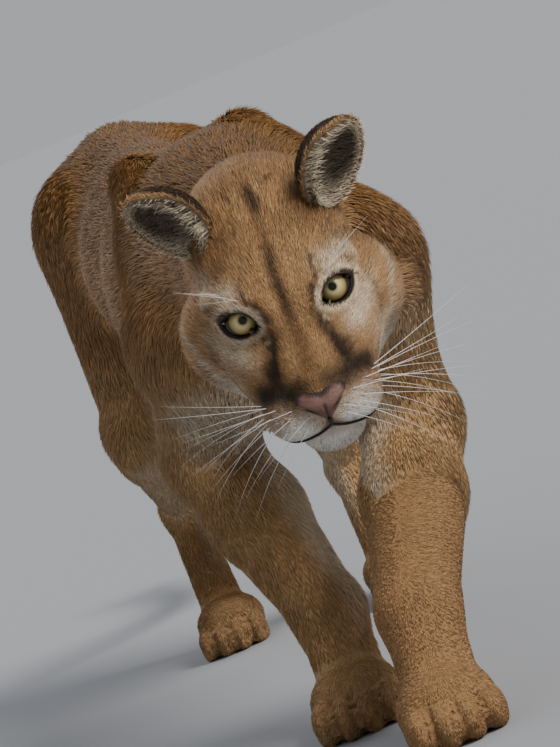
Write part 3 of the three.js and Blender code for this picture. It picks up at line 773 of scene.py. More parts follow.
def face_colour(h, rgb):
    stray = np.stack([wander(h, EDGE_NOISE["scale"], seed) for seed in EDGE_NOISE["seeds"]], axis=1)
    m = fold(h) + EDGE_NOISE["size"] * stray
    for tone, strength, centre, radii in FACE_TONES:
        rgb = blend(rgb, tone, strength * blob(m, centre, radii))
    fade = smooth(50, 10, h[:, 0])
    beside_midline = [(ahead, up, abs(left) + 9) for ahead, up, left in MIDLINE]
    rgb = blend(rgb, SAND, 0.45 * fade * stroke(m, beside_midline, 4.5))
    rgb = blend(rgb, DARK, 0.85 * fade * stroke(h, MIDLINE, 5.0))
    rgb = blend(rgb, DARK, 0.9 * blob(h, *CROWN_SPOT))
    for tone, strength, half_width, points in FACE_STROKES:
        rgb = blend(rgb, tone, strength * stroke(m, points, half_width))
    for side in (1, -1):
        local = (h - mirror(EYE["place"], side)) @ eye_frame(side).T
        ring = almond(local[:, 2], local[:, 1])
        front = smooth(-6, 2, local[:, 0])
        rgb = blend(rgb, PALE, 0.6 * front * smooth(1.55, 1.25, ring))
        rgb = blend(rgb, DARK, 0.97 * front * smooth(1.19, 1.08, ring))
    rgb = blend(rgb, DARK, 0.97 * np.exp(-((mouth_distance(h) / 3.4) ** 4)) * smooth(5, 20, h[:, 0]))
    rgb = blend(rgb, DARK, 0.85 * np.exp(-((cleft_distance(h) / 2.4) ** 2)))
    for _, _, spot in WHISKER_ROOTS:
        rgb = blend(rgb, DARK, 0.85 * np.exp(-((np.linalg.norm(m - spot, axis=1) / 1.7) ** 2)))
    return rgb


def tail_place(points):
    """How far along the tail each point lies, from its root at 0 to its tip at 1."""
    best = np.full(len(points), np.inf)
    share = np.zeros(len(points))
    for i, (a, b) in enumerate(zip(TAIL_LINE[:-1], TAIL_LINE[1:])):
        run = b - a
        along = np.clip((points - a) @ run / (run @ run), 0, 1)
        away = ((points - a - along[:, None] * run) ** 2).sum(1)
        nearer = away < best
        best = np.where(nearer, away, best)
        share = np.where(nearer, (i + along) / TAIL_STEPS, share)
    return share


def leg_colour(rgb, points, outward, near, trunk):
    """Paler legs, pale inside, with faint bars high inside the forelegs, and darker low on the paws."""
    height = points[:, 2]
    legs = np.minimum(near["foreleg"], near["hindleg"]) - trunk
    rgb = blend(rgb, SAND, 0.5 * smooth(8, -8, legs))
    inner = smooth(14, -10, legs) * smooth(330, 250, height) * smooth(60, 150, height)
    rgb = blend(rgb, PALE, 0.7 * inner * smooth(-0.1, -0.75, outward))
    bars = np.sin(height / 7.5 + 1.4 * np.sin(points[:, 1] / 31))
    on_foreleg = smooth(6, -6, np.minimum(near["foreleg"], near["shoulder"]) - trunk)
    barred = on_foreleg * smooth(0.35, -0.25, outward) * smooth(330, 270, height)
    rgb = blend(rgb, BROWN, 0.5 * barred * smooth(0.1, 0.8, bars * smooth(190, 240, height)))
    # Darker low on the paws, towards the floor
    return blend(rgb, BROWN, 0.35 * smooth(60, 12, height) * smooth(14, -4, near["paw"]))


def tail_colour(rgb, points, up, near, trunk):
    """A tail with a dark ridge and a dark tip."""
    on_tail = smooth(10, -5, near["tail"] - trunk)
    rgb = blend(rgb, BACK, 0.6 * on_tail * smooth(-0.3, 0.7, up))
    return blend(rgb, DARK, 0.96 * on_tail * smooth(0.8, 0.9, tail_place(points)))


def coat_colour(points, normals, near):
    """Tawny, browner along the back, sandy and pale below, with the markings of legs, tail and face, and
    painted shade on the crown's folds and under the chin.
    """
    trunk = np.minimum(near["trunk"], near["neck"])
    up = normals[:, 2]
    outward = (normals @ TRUNK_LEFT) * np.sign((points - WITHERS) @ TRUNK_LEFT)
    height = points[:, 2]
    rgb = np.tile(TAWNY, (len(points), 1))
    rgb = blend(rgb, BACK, 0.9 * smooth(0.1, 0.85, up) * smooth(360, 480, height))
    rgb = blend(rgb, SAND, 0.75 * smooth(0.1, -0.4, up) * smooth(430, 320, height))
    rgb = blend(rgb, PALE, 0.9 * smooth(-0.3, -0.8, up) * smooth(40, 90, height))
    rgb = leg_colour(rgb, points, outward, near, trunk)
    rgb = tail_colour(rgb, points, up, near, trunk)
    in_head = smooth(16, -10, near["head"] - near["neck"])[:, None]
    face = face_colour(to_head(points), np.tile(TAWNY, (len(points), 1)))
    return rgb * (1 - in_head) + face * in_head


# Finishes
def material(name, base=(0.5, 0.5, 0.5), roughness=0.6, layer=None, specular=0.4, coat=0.0):
    """A finish whose colour is one tone, or is painted on the mesh in a named layer."""
    made = bpy.data.materials.new(name)
    made.use_nodes = True
    shader = made.node_tree.nodes["Principled BSDF"]
    shader.inputs["Base Color"].default_value = (*base, 1)
    shader.inputs["Roughness"].default_value = roughness
    shader.inputs["Specular IOR Level"].default_value = specular
    shader.inputs["Coat Weight"].default_value = coat
    shader.inputs["Coat Roughness"].default_value = 0.03
    if layer:
        paint = made.node_tree.nodes.new("ShaderNodeVertexColor")
        paint.layer_name = layer
        made.node_tree.links.new(paint.outputs["Color"], shader.inputs["Base Color"])
    return made


def add_bump(made, scale, strength, distance=0.001, texture="ShaderNodeTexNoise"):
    tree = made.node_tree
    place = tree.nodes.new("ShaderNodeTexCoord")
    noise = tree.nodes.new(texture)
    noise.inputs["Scale"].default_value = scale
    bump = tree.nodes.new("ShaderNodeBump")
    bump.inputs["Strength"].default_value = strength
    bump.inputs["Distance"].default_value = distance
    tree.links.new(place.outputs["Object"], noise.inputs["Vector"])
    tree.links.new(noise.outputs[0], bump.inputs["Height"])
    tree.links.new(bump.outputs["Normal"], tree.nodes["Principled BSDF"].inputs["Normal"])


SKIN_FINISH = material("skin_under_coat", roughness=0.8, layer="coat", specular=0.2)
add_bump(SKIN_FINISH, 900, 0.5)
COAT_FINISH = material("coat_hair", roughness=0.6, layer="coat", specular=0.25)

# Camera, light and floor
PHOTO_HEIGHT = 747
PIXEL = 0.00083  # metres for each pixel of the photo, at the eyes
EYES_ASIDE, EYES_ABOVE = 10.25, 61.8  # pixels from the photo's middle to the middle between the eyes
DISTANCE = 3.2
ELEVATION = math.radians(5)
ROLL = math.radians(23)
SENSOR = 36
FLOOR_RADIUS = 60
FLOOR_TONE = (0.364, 0.374, 0.393)
SKY = {"colour": (0.86, 0.88, 0.92, 1), "strength": 0.5}


def build_camera():
    """A camera at the photo's distance, height and tilt, whose middle is the photo's middle."""
    toward = Vector((0, -math.cos(ELEVATION), math.sin(ELEVATION)))
    level_right = Vector((1, 0, 0))
    level_up = toward.cross(level_right)
    right = math.cos(ROLL) * level_right - math.sin(ROLL) * level_up
    up = math.sin(ROLL) * level_right + math.cos(ROLL) * level_up
    place = Vector(world(EYES_MIDDLE)) + toward * DISTANCE
    place -= EYES_ASIDE * PIXEL * right + EYES_ABOVE * PIXEL * up
    turned = Matrix((right, up, toward)).transposed().to_4x4()
    turned.translation = place
    camera = bpy.data.objects.new("camera", bpy.data.cameras.new("camera"))
    bpy.context.scene.collection.objects.link(camera)
    camera.matrix_world = turned
    camera.data.sensor_width = SENSOR
    camera.data.lens = SENSOR * DISTANCE / (PHOTO_HEIGHT * PIXEL)
    camera.data.clip_end = 200
    bpy.context.scene.camera = camera
    return place


def build_sky():
    studio = bpy.data.worlds.new("studio")
    bpy.context.scene.world = studio
    studio.use_nodes = True
    background = studio.node_tree.nodes["Background"]
    background.inputs["Color"].default_value = SKY["colour"]
    background.inputs["Strength"].default_value = SKY["strength"]


def build_sun(name, place, strength, angle, tint):
    """A wide soft light that reaches the whole floor evenly, from the direction of a place."""
    light = bpy.data.lights.new(name, "SUN")
    light.energy = strength
    light.angle = math.radians(angle)
    light.color = tint
    made = bpy.data.objects.new(name, light)
    made.rotation_euler = Vector(place).to_track_quat("Z", "Y").to_euler()
    bpy.context.scene.collection.objects.link(made)


def build_floor():
    bm = bmesh.new()
    bmesh.ops.create_circle(bm, cap_ends=True, segments=96, radius=FLOOR_RADIUS)
    floor = bpy.data.objects.new("floor", mesh_from_bmesh("floor", bm, False))
    floor.data.materials.append(material("pale_floor", FLOOR_TONE, 0.9, specular=0.1))
    bpy.context.scene.collection.objects.link(floor)


CAMERA_PLACE = build_camera()
build_sky()
build_sun("key", (2.4, -2.0, 2.6), 3.2, 24, (1, 0.97, 0.93))
build_sun("back", (-1.2, 3.0, 2.4), 0.7, 40, (0.95, 0.97, 1))
build_floor()

# The skin's piece, in the coat's colour darkened as painted shade under the coat
UNDER_SHADE = 0.8
SKIN_MESH, BARE = build_skin()
skin = new_object("skin", SKIN_MESH, SKIN_FINISH)
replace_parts(skin, *FLESH_NODES)
NEAR, WAY = body_groups(BARE)
_, SLOPE = flesh_slope(BARE)
set_colours(SKIN_MESH, "coat", coat_colour(get_vertices(SKIN_MESH) / MM - SHIFT, SLOPE, NEAR) * UNDER_SHADE)

# Eyes
IRIS = {"pupil": 3.2, "pale_ring": 6.0, "edge": 11.8, "bulge": 1.6}
AMBER = colour("b39a55")
STRAW = colour("dccf9c")
OLIVE = colour("6a6238")
UMBER = colour("2a220f")
BLACK = vec(0, 0, 0)
EYE_FINISH = material("eye_gloss", roughness=0.3, layer="eye", specular=0.25, coat=0.45)
LID_FINISH = material("lid_skin", colour("17110d"), 0.35, specular=0.5)
LID_EDGE = {"out": 0.6, "radius": 0.95, "thicker": 0.35}
SIDES = (("left", 1), ("right", -1))


def iris_colour(away, angle):
    """Rings and spokes of the iris, by the distance from the middle of the pupil in millimetres."""
    spokes = np.sin(angle * 37) * 0.5 + np.sin(angle * 61 + 1.3) * 0.3 + np.sin(angle * 97 + 0.4) * 0.2
    rgb = np.tile(AMBER, (len(away), 1))
    rgb = blend(rgb, STRAW, 0.8 * np.exp(-(((away - IRIS["pale_ring"]) / 2.2) ** 2)) + 0.12 * spokes)
    rgb = blend(rgb, OLIVE, 0.75 * smooth(8.6, 11.6, away) + 0.1 * spokes * smooth(6, 9, away))
    rgb = blend(rgb, DARK, smooth(IRIS["edge"] - 0.9, IRIS["edge"] + 0.5, away))
    rgb = blend(rgb, UMBER, 0.8 * np.exp(-(((away - IRIS["pupil"]) / 0.9) ** 2)))
    return blend(rgb, BLACK, smooth(IRIS["pupil"] + 0.25, IRIS["pupil"] - 0.25, away))


def build_eye(side_name, side):
    """An eyeball that looks into the camera, with a slight bulge over the iris."""
    centre = Vector(world(head_point(mirror(EYE["place"], side))))
    bm = bmesh.new()
    bmesh.ops.create_uvsphere(bm, u_segments=96, v_segments=96, radius=EYE["radius"] * MM)
    points = np.array([v.co for v in bm.verts]) / MM
    away = np.hypot(points[:, 0], points[:, 1])
    front = points[:, 2] > 0
    rgb = iris_colour(np.where(front, away, 30), np.arctan2(points[:, 1], points[:, 0]))
    for v, bulge in zip(bm.verts, IRIS["bulge"] * smooth(12.5, 4, away) * front):
        v.co.z += bulge * MM
    turn = (CAMERA_PLACE - centre).normalized().to_track_quat("Z", "Y").to_matrix().to_4x4()
    turn.translation = centre
    bmesh.ops.transform(bm, matrix=turn, verts=bm.verts)
    mesh = mesh_from_bmesh("eyeball_" + side_name, bm)
    set_colours(mesh, "eye", rgb)
    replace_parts(new_object(mesh.name, mesh, EYE_FINISH), "eye_" + side_name)


def build_tubes(name, lines, radii, finish, cyclic=False, sides=2):
    """Round tubes along lines of points in metres, with a radius at each point."""
    data = bpy.data.curves.new(name, "CURVE")
    data.dimensions = "3D"
    data.bevel_depth = 1.0
    data.bevel_resolution = sides
    data.use_fill_caps = True
    for line, line_radii in zip(lines, radii):
        spline = data.splines.new("POLY")
        spline.points.add(len(line) - 1)
        spline.use_cyclic_u = cyclic
        for point, place, radius in zip(spline.points, line, line_radii):
            point.co = (*place, 1)
            point.radius = radius
    holder = bpy.data.objects.new(name, data)
    bpy.context.scene.collection.objects.link(holder)
    mesh = bpy.data.meshes.new_from_object(holder.evaluated_get(bpy.context.evaluated_depsgraph_get()))
    bpy.data.objects.remove(holder)
    mesh.name = name
    mesh.polygons.foreach_set("use_smooth", [True] * len(mesh.polygons))
    new_object(name, mesh, finish)


def lid_line(side, out, count=72):
    """The edge of the opening between the lids, on a ball `out` millimetres over the eye."""
    angles = np.linspace(0, 2 * math.pi, count, endpoint=False)
    scale = np.full(count, 1.0)
    for _ in range(30):
        across = scale * np.cos(angles) * ALMOND["half_width"]
        lift = scale * np.sin(angles) * ALMOND["half_height"]
        scale /= almond(across, lift)
    ball = EYE["radius"] + out
    ahead = np.sqrt(np.maximum(ball**2 - across**2 - lift**2, 1))
    local = np.stack([ahead, lift, across], axis=1)
    return local @ eye_frame(side) + mirror(EYE["place"], side), angles


def build_lids(side_name, side):
    """The dark edge of the lids, thicker above."""
    rim, around = lid_line(side, LID_EDGE["out"])
    radius = (LID_EDGE["radius"] + LID_EDGE["thicker"] * np.sin(around)) * MM
    build_tubes("lid_rim_" + side_name, [world(head_point(rim))], [radius], LID_FINISH, True, 3)


for side_name, side in SIDES:
    build_eye(side_name, side)
    build_lids(side_name, side)

# Nose
# The nose pad's outline, in millimetres, from its foot to the top of its two lobes.
NOSE_OUTLINE = {
    "height": (-54, -50, -46, -42, -38.5, -35, -31, -28),
    "half": (2.5, 8.5, 12.5, 16.5, 20.5, 22.0, 19.5, 8.0),
    "front": (84.0, 86.0, 87.0, 87.5, 87.0, 85.5, 82.5, 78.0),
    "depth": 13,
}
NOSTRIL = {"line": vec((88, -45.5, 7.5), (84, -41.5, 13.5), (77, -38, 20)), "half_width": 2.3, "depth": 5.5}
NOSE_GROOVE = {"half_width": 1.2, "depth": 1.5}
LOBE_NOTCH = {"half_width": 6, "depth": 2.2}
NOSE_TONE, NOSE_PAINTED_HIGHLIGHT, NOSE_EDGE, NOSTRIL_SHADE = map(colour, ("6d4f46", "876559", "241814", "0e0907"))
NOSE_FINISH = material("nose_leather", roughness=0.5, layer="nose", specular=0.35)
add_bump(NOSE_FINISH, 620, 0.55, 0.0006, "ShaderNodeTexVoronoi")


def build_nose():
    """A ball drawn out to the pad's outline, with nostrils, a groove and a notch between the lobes."""
    bm = bmesh.new()
    bmesh.ops.create_uvsphere(bm, u_segments=96, v_segments=64, radius=1)
    mesh = mesh_from_bmesh("nose_pad", bm)
    ball = get_vertices(mesh)
    low, high = NOSE_OUTLINE["height"][0], NOSE_OUTLINE["height"][-1]
    height = (low + high) / 2 + (high - low) / 2 * ball[:, 1]
    half = np.interp(height, NOSE_OUTLINE["height"], NOSE_OUTLINE["half"])
    front = np.interp(height, NOSE_OUTLINE["height"], NOSE_OUTLINE["front"])
    ring = np.maximum(np.hypot(ball[:, 0], ball[:, 2]), 1e-3)
    ahead, across = ball[:, 0] / ring, ball[:, 2] / ring
    p = np.stack([front - NOSE_OUTLINE["depth"] * (1 - ahead), height, half * across], axis=1)
    notch = np.exp(-((p[:, 2] / LOBE_NOTCH["half_width"]) ** 2)) * smooth(0.3, 0.95, ball[:, 1])
    p[:, 1] -= LOBE_NOTCH["depth"] * notch
    m = fold(p)
    hole = np.exp(-((line_distance(m, NOSTRIL["line"]) / NOSTRIL["half_width"]) ** 2))
    groove = np.exp(-((p[:, 2] / NOSE_GROOVE["half_width"]) ** 2)) * smooth(0.6, 0.1, ball[:, 1])
    p[:, 0] -= NOSTRIL["depth"] * hole + NOSE_GROOVE["depth"] * groove
    edge = np.maximum(smooth(0.6, 0.2, ahead), smooth(0.75, 0.97, np.abs(ball[:, 1])))
    rgb = np.tile(NOSE_TONE, (len(p), 1))
    # A lighter patch on top of the lobes: a painted highlight
    rgb = blend(rgb, NOSE_PAINTED_HIGHLIGHT, 0.5 * blob(m, (86, -36, 9), (14, 4, 7)))
    rgb = blend(rgb, NOSE_EDGE, 0.95 * edge)
    # Near-black in the nostrils and darker in the groove: painted shade in these hollows
    rgb = blend(rgb, NOSTRIL_SHADE, 1.3 * hole + 0.5 * groove)
    set_vertices(mesh, world(head_point(p)))
    mesh.flip_normals()
    set_colours(mesh, "nose", rgb)
    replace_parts(new_object("nose_pad", mesh, NOSE_FINISH), "nose")


build_nose()

# Whiskers and lips
WHISKER_FINISH = material("whisker_white", (0.86, 0.84, 0.8), 0.35, specular=0.5)
WHISKER_LENGTH, WHISKER_STEP = 58, 15  # of the front one in a row and how much longer each next one is
BROW_HAIRS = 6
HAIR_RADIUS = 0.2
LIP_OUT = 1.0
LIP_RADIUS = 1.25
LIP_ENDS = 0.45  # the share of the lip's thickness that is left at its ends


def whisker(row, k, root):
    """Centre line and radii of one whisker of the left pad, in the head's frame."""
    length = WHISKER_LENGTH + WHISKER_STEP * k + RNG.uniform(-10, 12)
    out = vec(0.3 - 0.22 * k, -0.04 - 0.28 * row + RNG.uniform(-0.06, 0.06), 0.95)
    out /= np.linalg.norm(out)
    t = np.linspace(0, 1, 14)[:, None]
    sag = vec(-0.28, -0.22 - 0.05 * row, -0.06)
    line = root - out * 2 + out * t * length + sag * length * t**2
    return line, RNG.uniform(0.28, 0.36) * (1 - 0.85 * t[:, 0])


def brow_hair(k):
    """Centre line and radii of one long hair over the left eye, in the head's frame."""
    root = vec(3 - 3.5 * k, 27 + 1.2 * k, 31 + 4.2 * k) + RNG.uniform(-1.5, 1.5, 3)
    out = unit(vec(RNG.uniform(-0.1, 0.3), RNG.uniform(0.3, 0.75), 0.75)[None])[0]
    t = np.linspace(0, 1, 10)[:, None]
    line = root + out * t * RNG.uniform(26, 44) + vec(-0.6, -0.25, 0.2) * RNG.uniform(18, 32) * t**2
    return line, HAIR_RADIUS * (1 - 0.8 * t[:, 0])


def build_whiskers():
    """Both sides' whiskers, without the first one of the top and the bottom row, and the brow hairs."""
    lines, radii = [], []
    for _, side in SIDES:
        grown = [root for root in WHISKER_ROOTS if root[1] or root[0] not in (0, WHISKER_ROWS - 1)]
        hairs = [whisker(*root) for root in grown]
        hairs += [brow_hair(k) for k in range(BROW_HAIRS)]
        for line, radius in hairs:
            lines.append(world(head_point(line * vec(1, 1, side))))
            radii.append(radius * MM)
    build_tubes("whiskers", lines, radii, WHISKER_FINISH, sides=1)


def build_lips():
    """The dark edge of the lips, along the line of the mouth and up the cleft to the nose."""
    lines, radii = [], []
    for line in (MOUTH_LINE, MOUTH_LINE * vec(1, 1, -1), CLEFT_LINE):
        line = line[line[:, 0] > 34]
        lines.append(world(head_point(line + unit(line - MUZZLE_CORE) * LIP_OUT)))
        radii.append(LIP_RADIUS * (LIP_ENDS + (1 - LIP_ENDS) * smooth(34, 48, line[:, 0])) * MM)
    build_tubes("lips", lines, radii, LID_FINISH)


build_whiskers()
build_lips()

# Ears
EAR = {
    "root": (-76, 43, 61), "outer": (24, 45.5, 32), "wall": 2.6, "lean": math.radians(24),
    "turn": math.radians(26), "raise": 32, "lip": 1, "shift": 3.5,
}
EAR_BACK, EAR_BACK_HAIR, EAR_CUP, EAR_CUP_SHADE, EAR_CUP_HAIR_SHADE = map(
    colour, ("4a3a2c", "4d3c2d", "8d705c", "2a1c15", "3a2a20")
)
EAR_FINISH = material("ear_skin", roughness=0.7, layer="coat", specular=0.25)


def ear_to_head(side):
    """From the ear's own frame, out of the cup, up and across, to the head's frame."""
    return turn_x(EAR["lean"] * side) @ turn_y(-EAR["turn"] * side)


def get_normals(mesh):
    flat = np.empty(len(mesh.vertices) * 3, np.float32)
    mesh.vertices.foreach_get("normal", flat)
    return flat.reshape(-1, 3).astype(float)


def build_ear(side_name, side):
    """A cup cut from a drawn-out ball. Also gives its points in its own frame and which are on its back."""
    bm = bmesh.new()
    bmesh.ops.create_uvsphere(bm, u_segments=56, v_segments=40, radius=1)
    bmesh.ops.scale(bm, vec=EAR["outer"], verts=bm.verts)
    every = bm.verts[:] + bm.edges[:] + bm.faces[:]
    bmesh.ops.bisect_plane(bm, geom=every, plane_co=(EAR["lip"], 0, 0), plane_no=(1, 0, 0), clear_outer=True)
    bmesh.ops.recalc_face_normals(bm, faces=bm.faces)
    bmesh.ops.solidify(bm, geom=bm.faces[:], thickness=EAR["wall"])
    bmesh.ops.recalc_face_normals(bm, faces=bm.faces)
    mesh = mesh_from_bmesh("ear_cup_" + side_name, bm)
    own = get_vertices(mesh)
    lift = own[:, 1] / EAR["outer"][1]
    own[:, 2] *= 1 - 0.1 * smooth(0.2, 1, lift)
    own[:, 0] += 5 * smooth(0.5, 1, lift) - 3 * smooth(0.3, 1.0, np.abs(own[:, 2]) / EAR["outer"][2])
    raised = own + vec(0, EAR["raise"], 0)
    placed = raised @ ear_to_head(side).T + mirror(EAR["root"], side) + vec(0, 0, EAR["shift"])
    set_vertices(mesh, world(head_point(placed)))
    mesh.flip_normals()
    facing = get_normals(mesh) @ HEAD_AXES.T @ ear_to_head(side)
    outer = smooth(-0.2, 0.2, (facing * own).sum(1))
    # Darker deeper in the cup: painted shade in the hollow of the ear
    inside = blend(np.tile(EAR_CUP, (len(own), 1)), EAR_CUP_SHADE, smooth(-4, -17, own[:, 0]))
    back = blend(np.tile(EAR_BACK, (len(own), 1)), TAWNY, 0.5 * smooth(0.1, -0.8, lift))
    rgb = inside * (1 - outer[:, None]) + back * outer[:, None]
    set_colours(mesh, "coat", blend(rgb, SAND, 0.55 * smooth(-6, 1, own[:, 0])))
    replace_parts(new_object(mesh.name, mesh, EAR_FINISH), "ear_" + side_name)
    return mesh, own, outer


EARS = {side_name: build_ear(side_name, side) for side_name, side in SIDES}

# Coat
# Length and width in millimetres, tufts on each square centimetre, and lift in degrees.
FUR = {
    "head": (9.0, 1.15, 62, 13), "neck": (20.0, 1.9, 24, 12), "trunk": (19.0, 2.3, 15, 9),
    "shoulder": (16.0, 1.9, 19, 10), "foreleg": (11.0, 1.6, 24, 10), "thigh": (17.0, 2.2, 15, 10),
    "hindleg": (10.0, 1.7, 20, 10), "tail": (17.0, 1.9, 22, 13), "paw": (6.0, 1.3, 26, 12),
}
PIECE_TUFTS = {"short": 46000, "long": 18400}
BENT_FROM = 19.5  # tufts from this length on are bent
PATCH = 0.003  # side of each tuft's patch on the UV map
FLOOR_GAP = 0.3 * MM
# Tones at each tuft's root, halfway and tip: darker at the root as painted shade down in the coat, lighter
# at the tip
ROOT_SHADE, HALF_SHADE, TIP_SHADE = (0.78, 0.78, 0.98), (0.98, 0.98, 1.05), (1.15,)
STRAIGHT_FACES = ((0, 2, 1), (0, 1, 3), (1, 2, 3), (2, 0, 3))
BENT_FACES = (
    (0, 1, 4), (0, 4, 3), (1, 2, 5), (1, 5, 4), (2, 0, 3), (2, 3, 5), (0, 2, 1), (3, 4, 6), (4, 5, 6),
    (5, 3, 6),
)
NOSE_START = 62
EAR_TUFTS = {"density": 46.0, "width": 0.95}


def unwrap(mesh):
    """Corner UVs of the skin's own shape, laid flat by the angle of its faces."""
    holder = bpy.data.objects.new("unwrap", mesh.copy())
    bpy.context.scene.collection.objects.link(holder)
    bpy.context.view_layer.objects.active = holder
    holder.select_set(True)
    bpy.ops.object.mode_set(mode="EDIT")
    bpy.ops.mesh.select_all(action="SELECT")
    bpy.ops.uv.smart_project(angle_limit=math.radians(75), island_margin=0.002)
    bpy.ops.object.mode_set(mode="OBJECT")
    uv = np.empty(len(holder.data.loops) * 2, np.float32)
    holder.data.uv_layers.active.data.foreach_get("uv", uv)
    laid_out = holder.data
    bpy.data.objects.remove(holder)
    bpy.data.meshes.remove(laid_out)
    return uv.reshape(-1, 2).astype(float)


def sample(mesh, density):
    """Roots spread over a mesh by tufts on each square centimetre: their triangle's corners, their shares
    of these and their place on the UV map."""
    mesh.calc_loop_triangles()
    count = len(mesh.loop_triangles)
    corners = np.empty(count * 3, np.int32)
    loops = np.empty(count * 3, np.int32)
    mesh.loop_triangles.foreach_get("vertices", corners)
    mesh.loop_triangles.foreach_get("loops", loops)
    corners, loops = corners.reshape(-1, 3), loops.reshape(-1, 3)
    place = get_vertices(mesh) * 100
    a, b, c = (place[corners[:, k]] for k in range(3))
    area = np.linalg.norm(np.cross(b - a, c - a), axis=1) / 2
    wanted = area * density[corners].mean(1)
    number = np.floor(wanted + RNG.random(count)).astype(int)
    chosen = np.repeat(np.arange(count), number)
    r1, r2 = np.sqrt(RNG.random(len(chosen))), RNG.random(len(chosen))
    shares = np.stack([1 - r1, r1 * (1 - r2), r1 * r2], axis=1)
    uv = unwrap(mesh)
    root_uv = (uv[loops[chosen]] * shares[:, :, None]).sum(1)
    return corners[chosen], shares, root_uv


def at_roots(values, corners, shares):
    """What values at a mesh's points come to at the roots."""
    picked = values[corners]
    return (picked * shares.reshape(*shares.shape, *[1] * (picked.ndim - 2))).sum(1)


def tuft_points(tufts, curl):
    """Each tuft's corners in metres: three round the root, three halfway where it curls, and the tip."""
    root, normal, way = tufts["root"], tufts["normal"], tufts["way"]
    size, wide = tufts["length"][:, None] * MM, tufts["width"][:, None] * MM
    across = np.cross(normal, way)
    rise, along = np.sin(tufts["lift"])[:, None], np.cos(tufts["lift"])[:, None]
    base = root - normal * 0.12 * wide
    points = [base - across * wide / 2, base + across * wide / 2]
    points.append(base + normal * wide * 0.42 + way * size * 0.12)
    if curl is None:
        points.append(base + way * size * along + normal * size * rise)
    else:
        half = base + way * size * 0.5 * along + normal * size * rise * 0.62
        half_wide = wide * 0.36
        points += [half - across * half_wide, half + across * half_wide, half + normal * half_wide * 0.7]
        points.append(base + way * size * along + normal * size * rise * 0.8 + curl)
    points = np.stack(points, axis=1)
    points[:, :, 2] = np.maximum(points[:, :, 2], FLOOR_GAP)
    return points


def build_tufts(name, tufts, curl=None):
    """A piece of thin solid tufts, painted from root to tip, each on its own patch of the UV map."""
    points = tuft_points(tufts, curl)
    count, per = points.shape[:2]
    faces = STRAIGHT_FACES if curl is None else BENT_FACES
    shades = ROOT_SHADE + (() if curl is None else HALF_SHADE) + TIP_SHADE
    index = (np.array(faces)[None] + np.arange(count)[:, None, None] * per).reshape(-1, 3)
    mesh = bpy.data.meshes.new(name)
    mesh.vertices.add(count * per)
    mesh.vertices.foreach_set("co", points.astype(np.float32).ravel())
    mesh.loops.add(index.size)
    mesh.loops.foreach_set("vertex_index", index.astype(np.int32).ravel())
    mesh.polygons.add(len(index))
    mesh.polygons.foreach_set("loop_start", np.arange(0, index.size, 3, dtype=np.int32))
    mesh.update(calc_edges=True)
    # Each tuft darker at its root, as painted shade down in the coat, and lighter at its tip
    paint = (tufts["rgb"][:, None, :] * np.array(shades)[None, :, None]).reshape(-1, 3)
    set_colours(mesh, "coat", np.clip(paint, 0, 1))
    patch_corners = np.array([(k % 2, k // 2 % 2) for k in range(per)], float) * PATCH
    corner_uv = (tufts["uv"][:, None, :] + patch_corners[None]).reshape(-1, 2)[index.ravel()]
    mesh.uv_layers.new(name="OFBake").data.foreach_set("uv", corner_uv.astype(np.float32).ravel())
    new_object(name, mesh, COAT_FINISH)


def random_curl(tufts, size):
    return RNG.normal(0, size, (len(tufts["root"]), 3)) * tufts["length"][:, None] * MM


def turned_way(way, normal, angle):
    across = np.cross(normal, way)
    return way * np.cos(angle)[:, None] + across * np.sin(angle)[:, None]


def flatten(way, normal):
    return unit(way - (way * normal).sum(1)[:, None] * normal)


def head_fur(h):
    """Length and lie of the head's coat: away from the nose, short on the face, long on the cheeks."""
    m = fold(h)
    length = 4.0 + 7.5 * smooth(25, -60, h[:, 0])
    length += 11 * blob(m, (-62, -52, 88), (34, 34, 34)) + 5 * blob(m, (14, -104, 22), (36, 16, 34))
    for place, radii in (((-12, 0, 40), (26, 20, 26)), ((66, -50, 14), (24, 20, 22))):
        length *= 1 - 0.55 * blob(m, place, radii)
    near_mouth = np.exp(-((mouth_distance(h) / 8) ** 2))
    length *= 1 - 0.72 * near_mouth * above_mouth(h) * smooth(0, 25, h[:, 0])
    way = unit(h - vec(84, -42, 0))
    way[:, 1] -= 0.35 * smooth(-30, -80, h[:, 1])
    return np.maximum(length, 2.2), way @ HEAD_AXES


def bald(h):
    """Where no coat grows on the face: the eyes, the nose pad and the lips' edge."""
    clear = np.zeros(len(h), bool)
    for side in (1, -1):
        local = (h - mirror(EYE["place"], side)) @ eye_frame(side).T
        clear |= (almond(local[:, 2], local[:, 1]) < 1.07) & (local[:, 0] > 0)
    half = np.interp(h[:, 1], NOSE_OUTLINE["height"], NOSE_OUTLINE["half"], left=0, right=0)
    notch = h[:, 1] > -29 - 2.5 * np.exp(-((h[:, 2] / 6) ** 2))
    clear |= (h[:, 0] > NOSE_START) & (np.abs(h[:, 2]) < half - 0.5) & ~notch
    return clear | (mouth_distance(h) < MOUTH_GROOVE["half_width"]) & (h[:, 0] > 12)


def coat_traits(in_head):
    """The coat's length, width, density, lift and lie at each point of the skin."""
    length, width, density, lift = (group_mix(NEAR, {k: v[i] for k, v in FUR.items()}) for i in range(4))
    h = to_head(BARE)
    head_length, head_way = head_fur(h)
    length = length * (1 - in_head) + head_length * in_head
    face = in_head * smooth(-60, 10, h[:, 0])
    under_soles = smooth(2.5, 0.8, BARE[:, 2])
    density = density * (1 + 0.5 * face) * (1 - 0.995 * under_soles)
    off_tail = 1 - smooth(4, -6, NEAR["tail"] - NEAR["trunk"])
    body_way = WAY + vec(0, 0, -0.288) * off_tail[:, None]
    way = body_way * (1 - in_head[:, None]) + head_way * in_head[:, None]
    return {"length": length, "width": width * (1 - 0.25 * face), "lift": lift, "way": unit(way)}, density


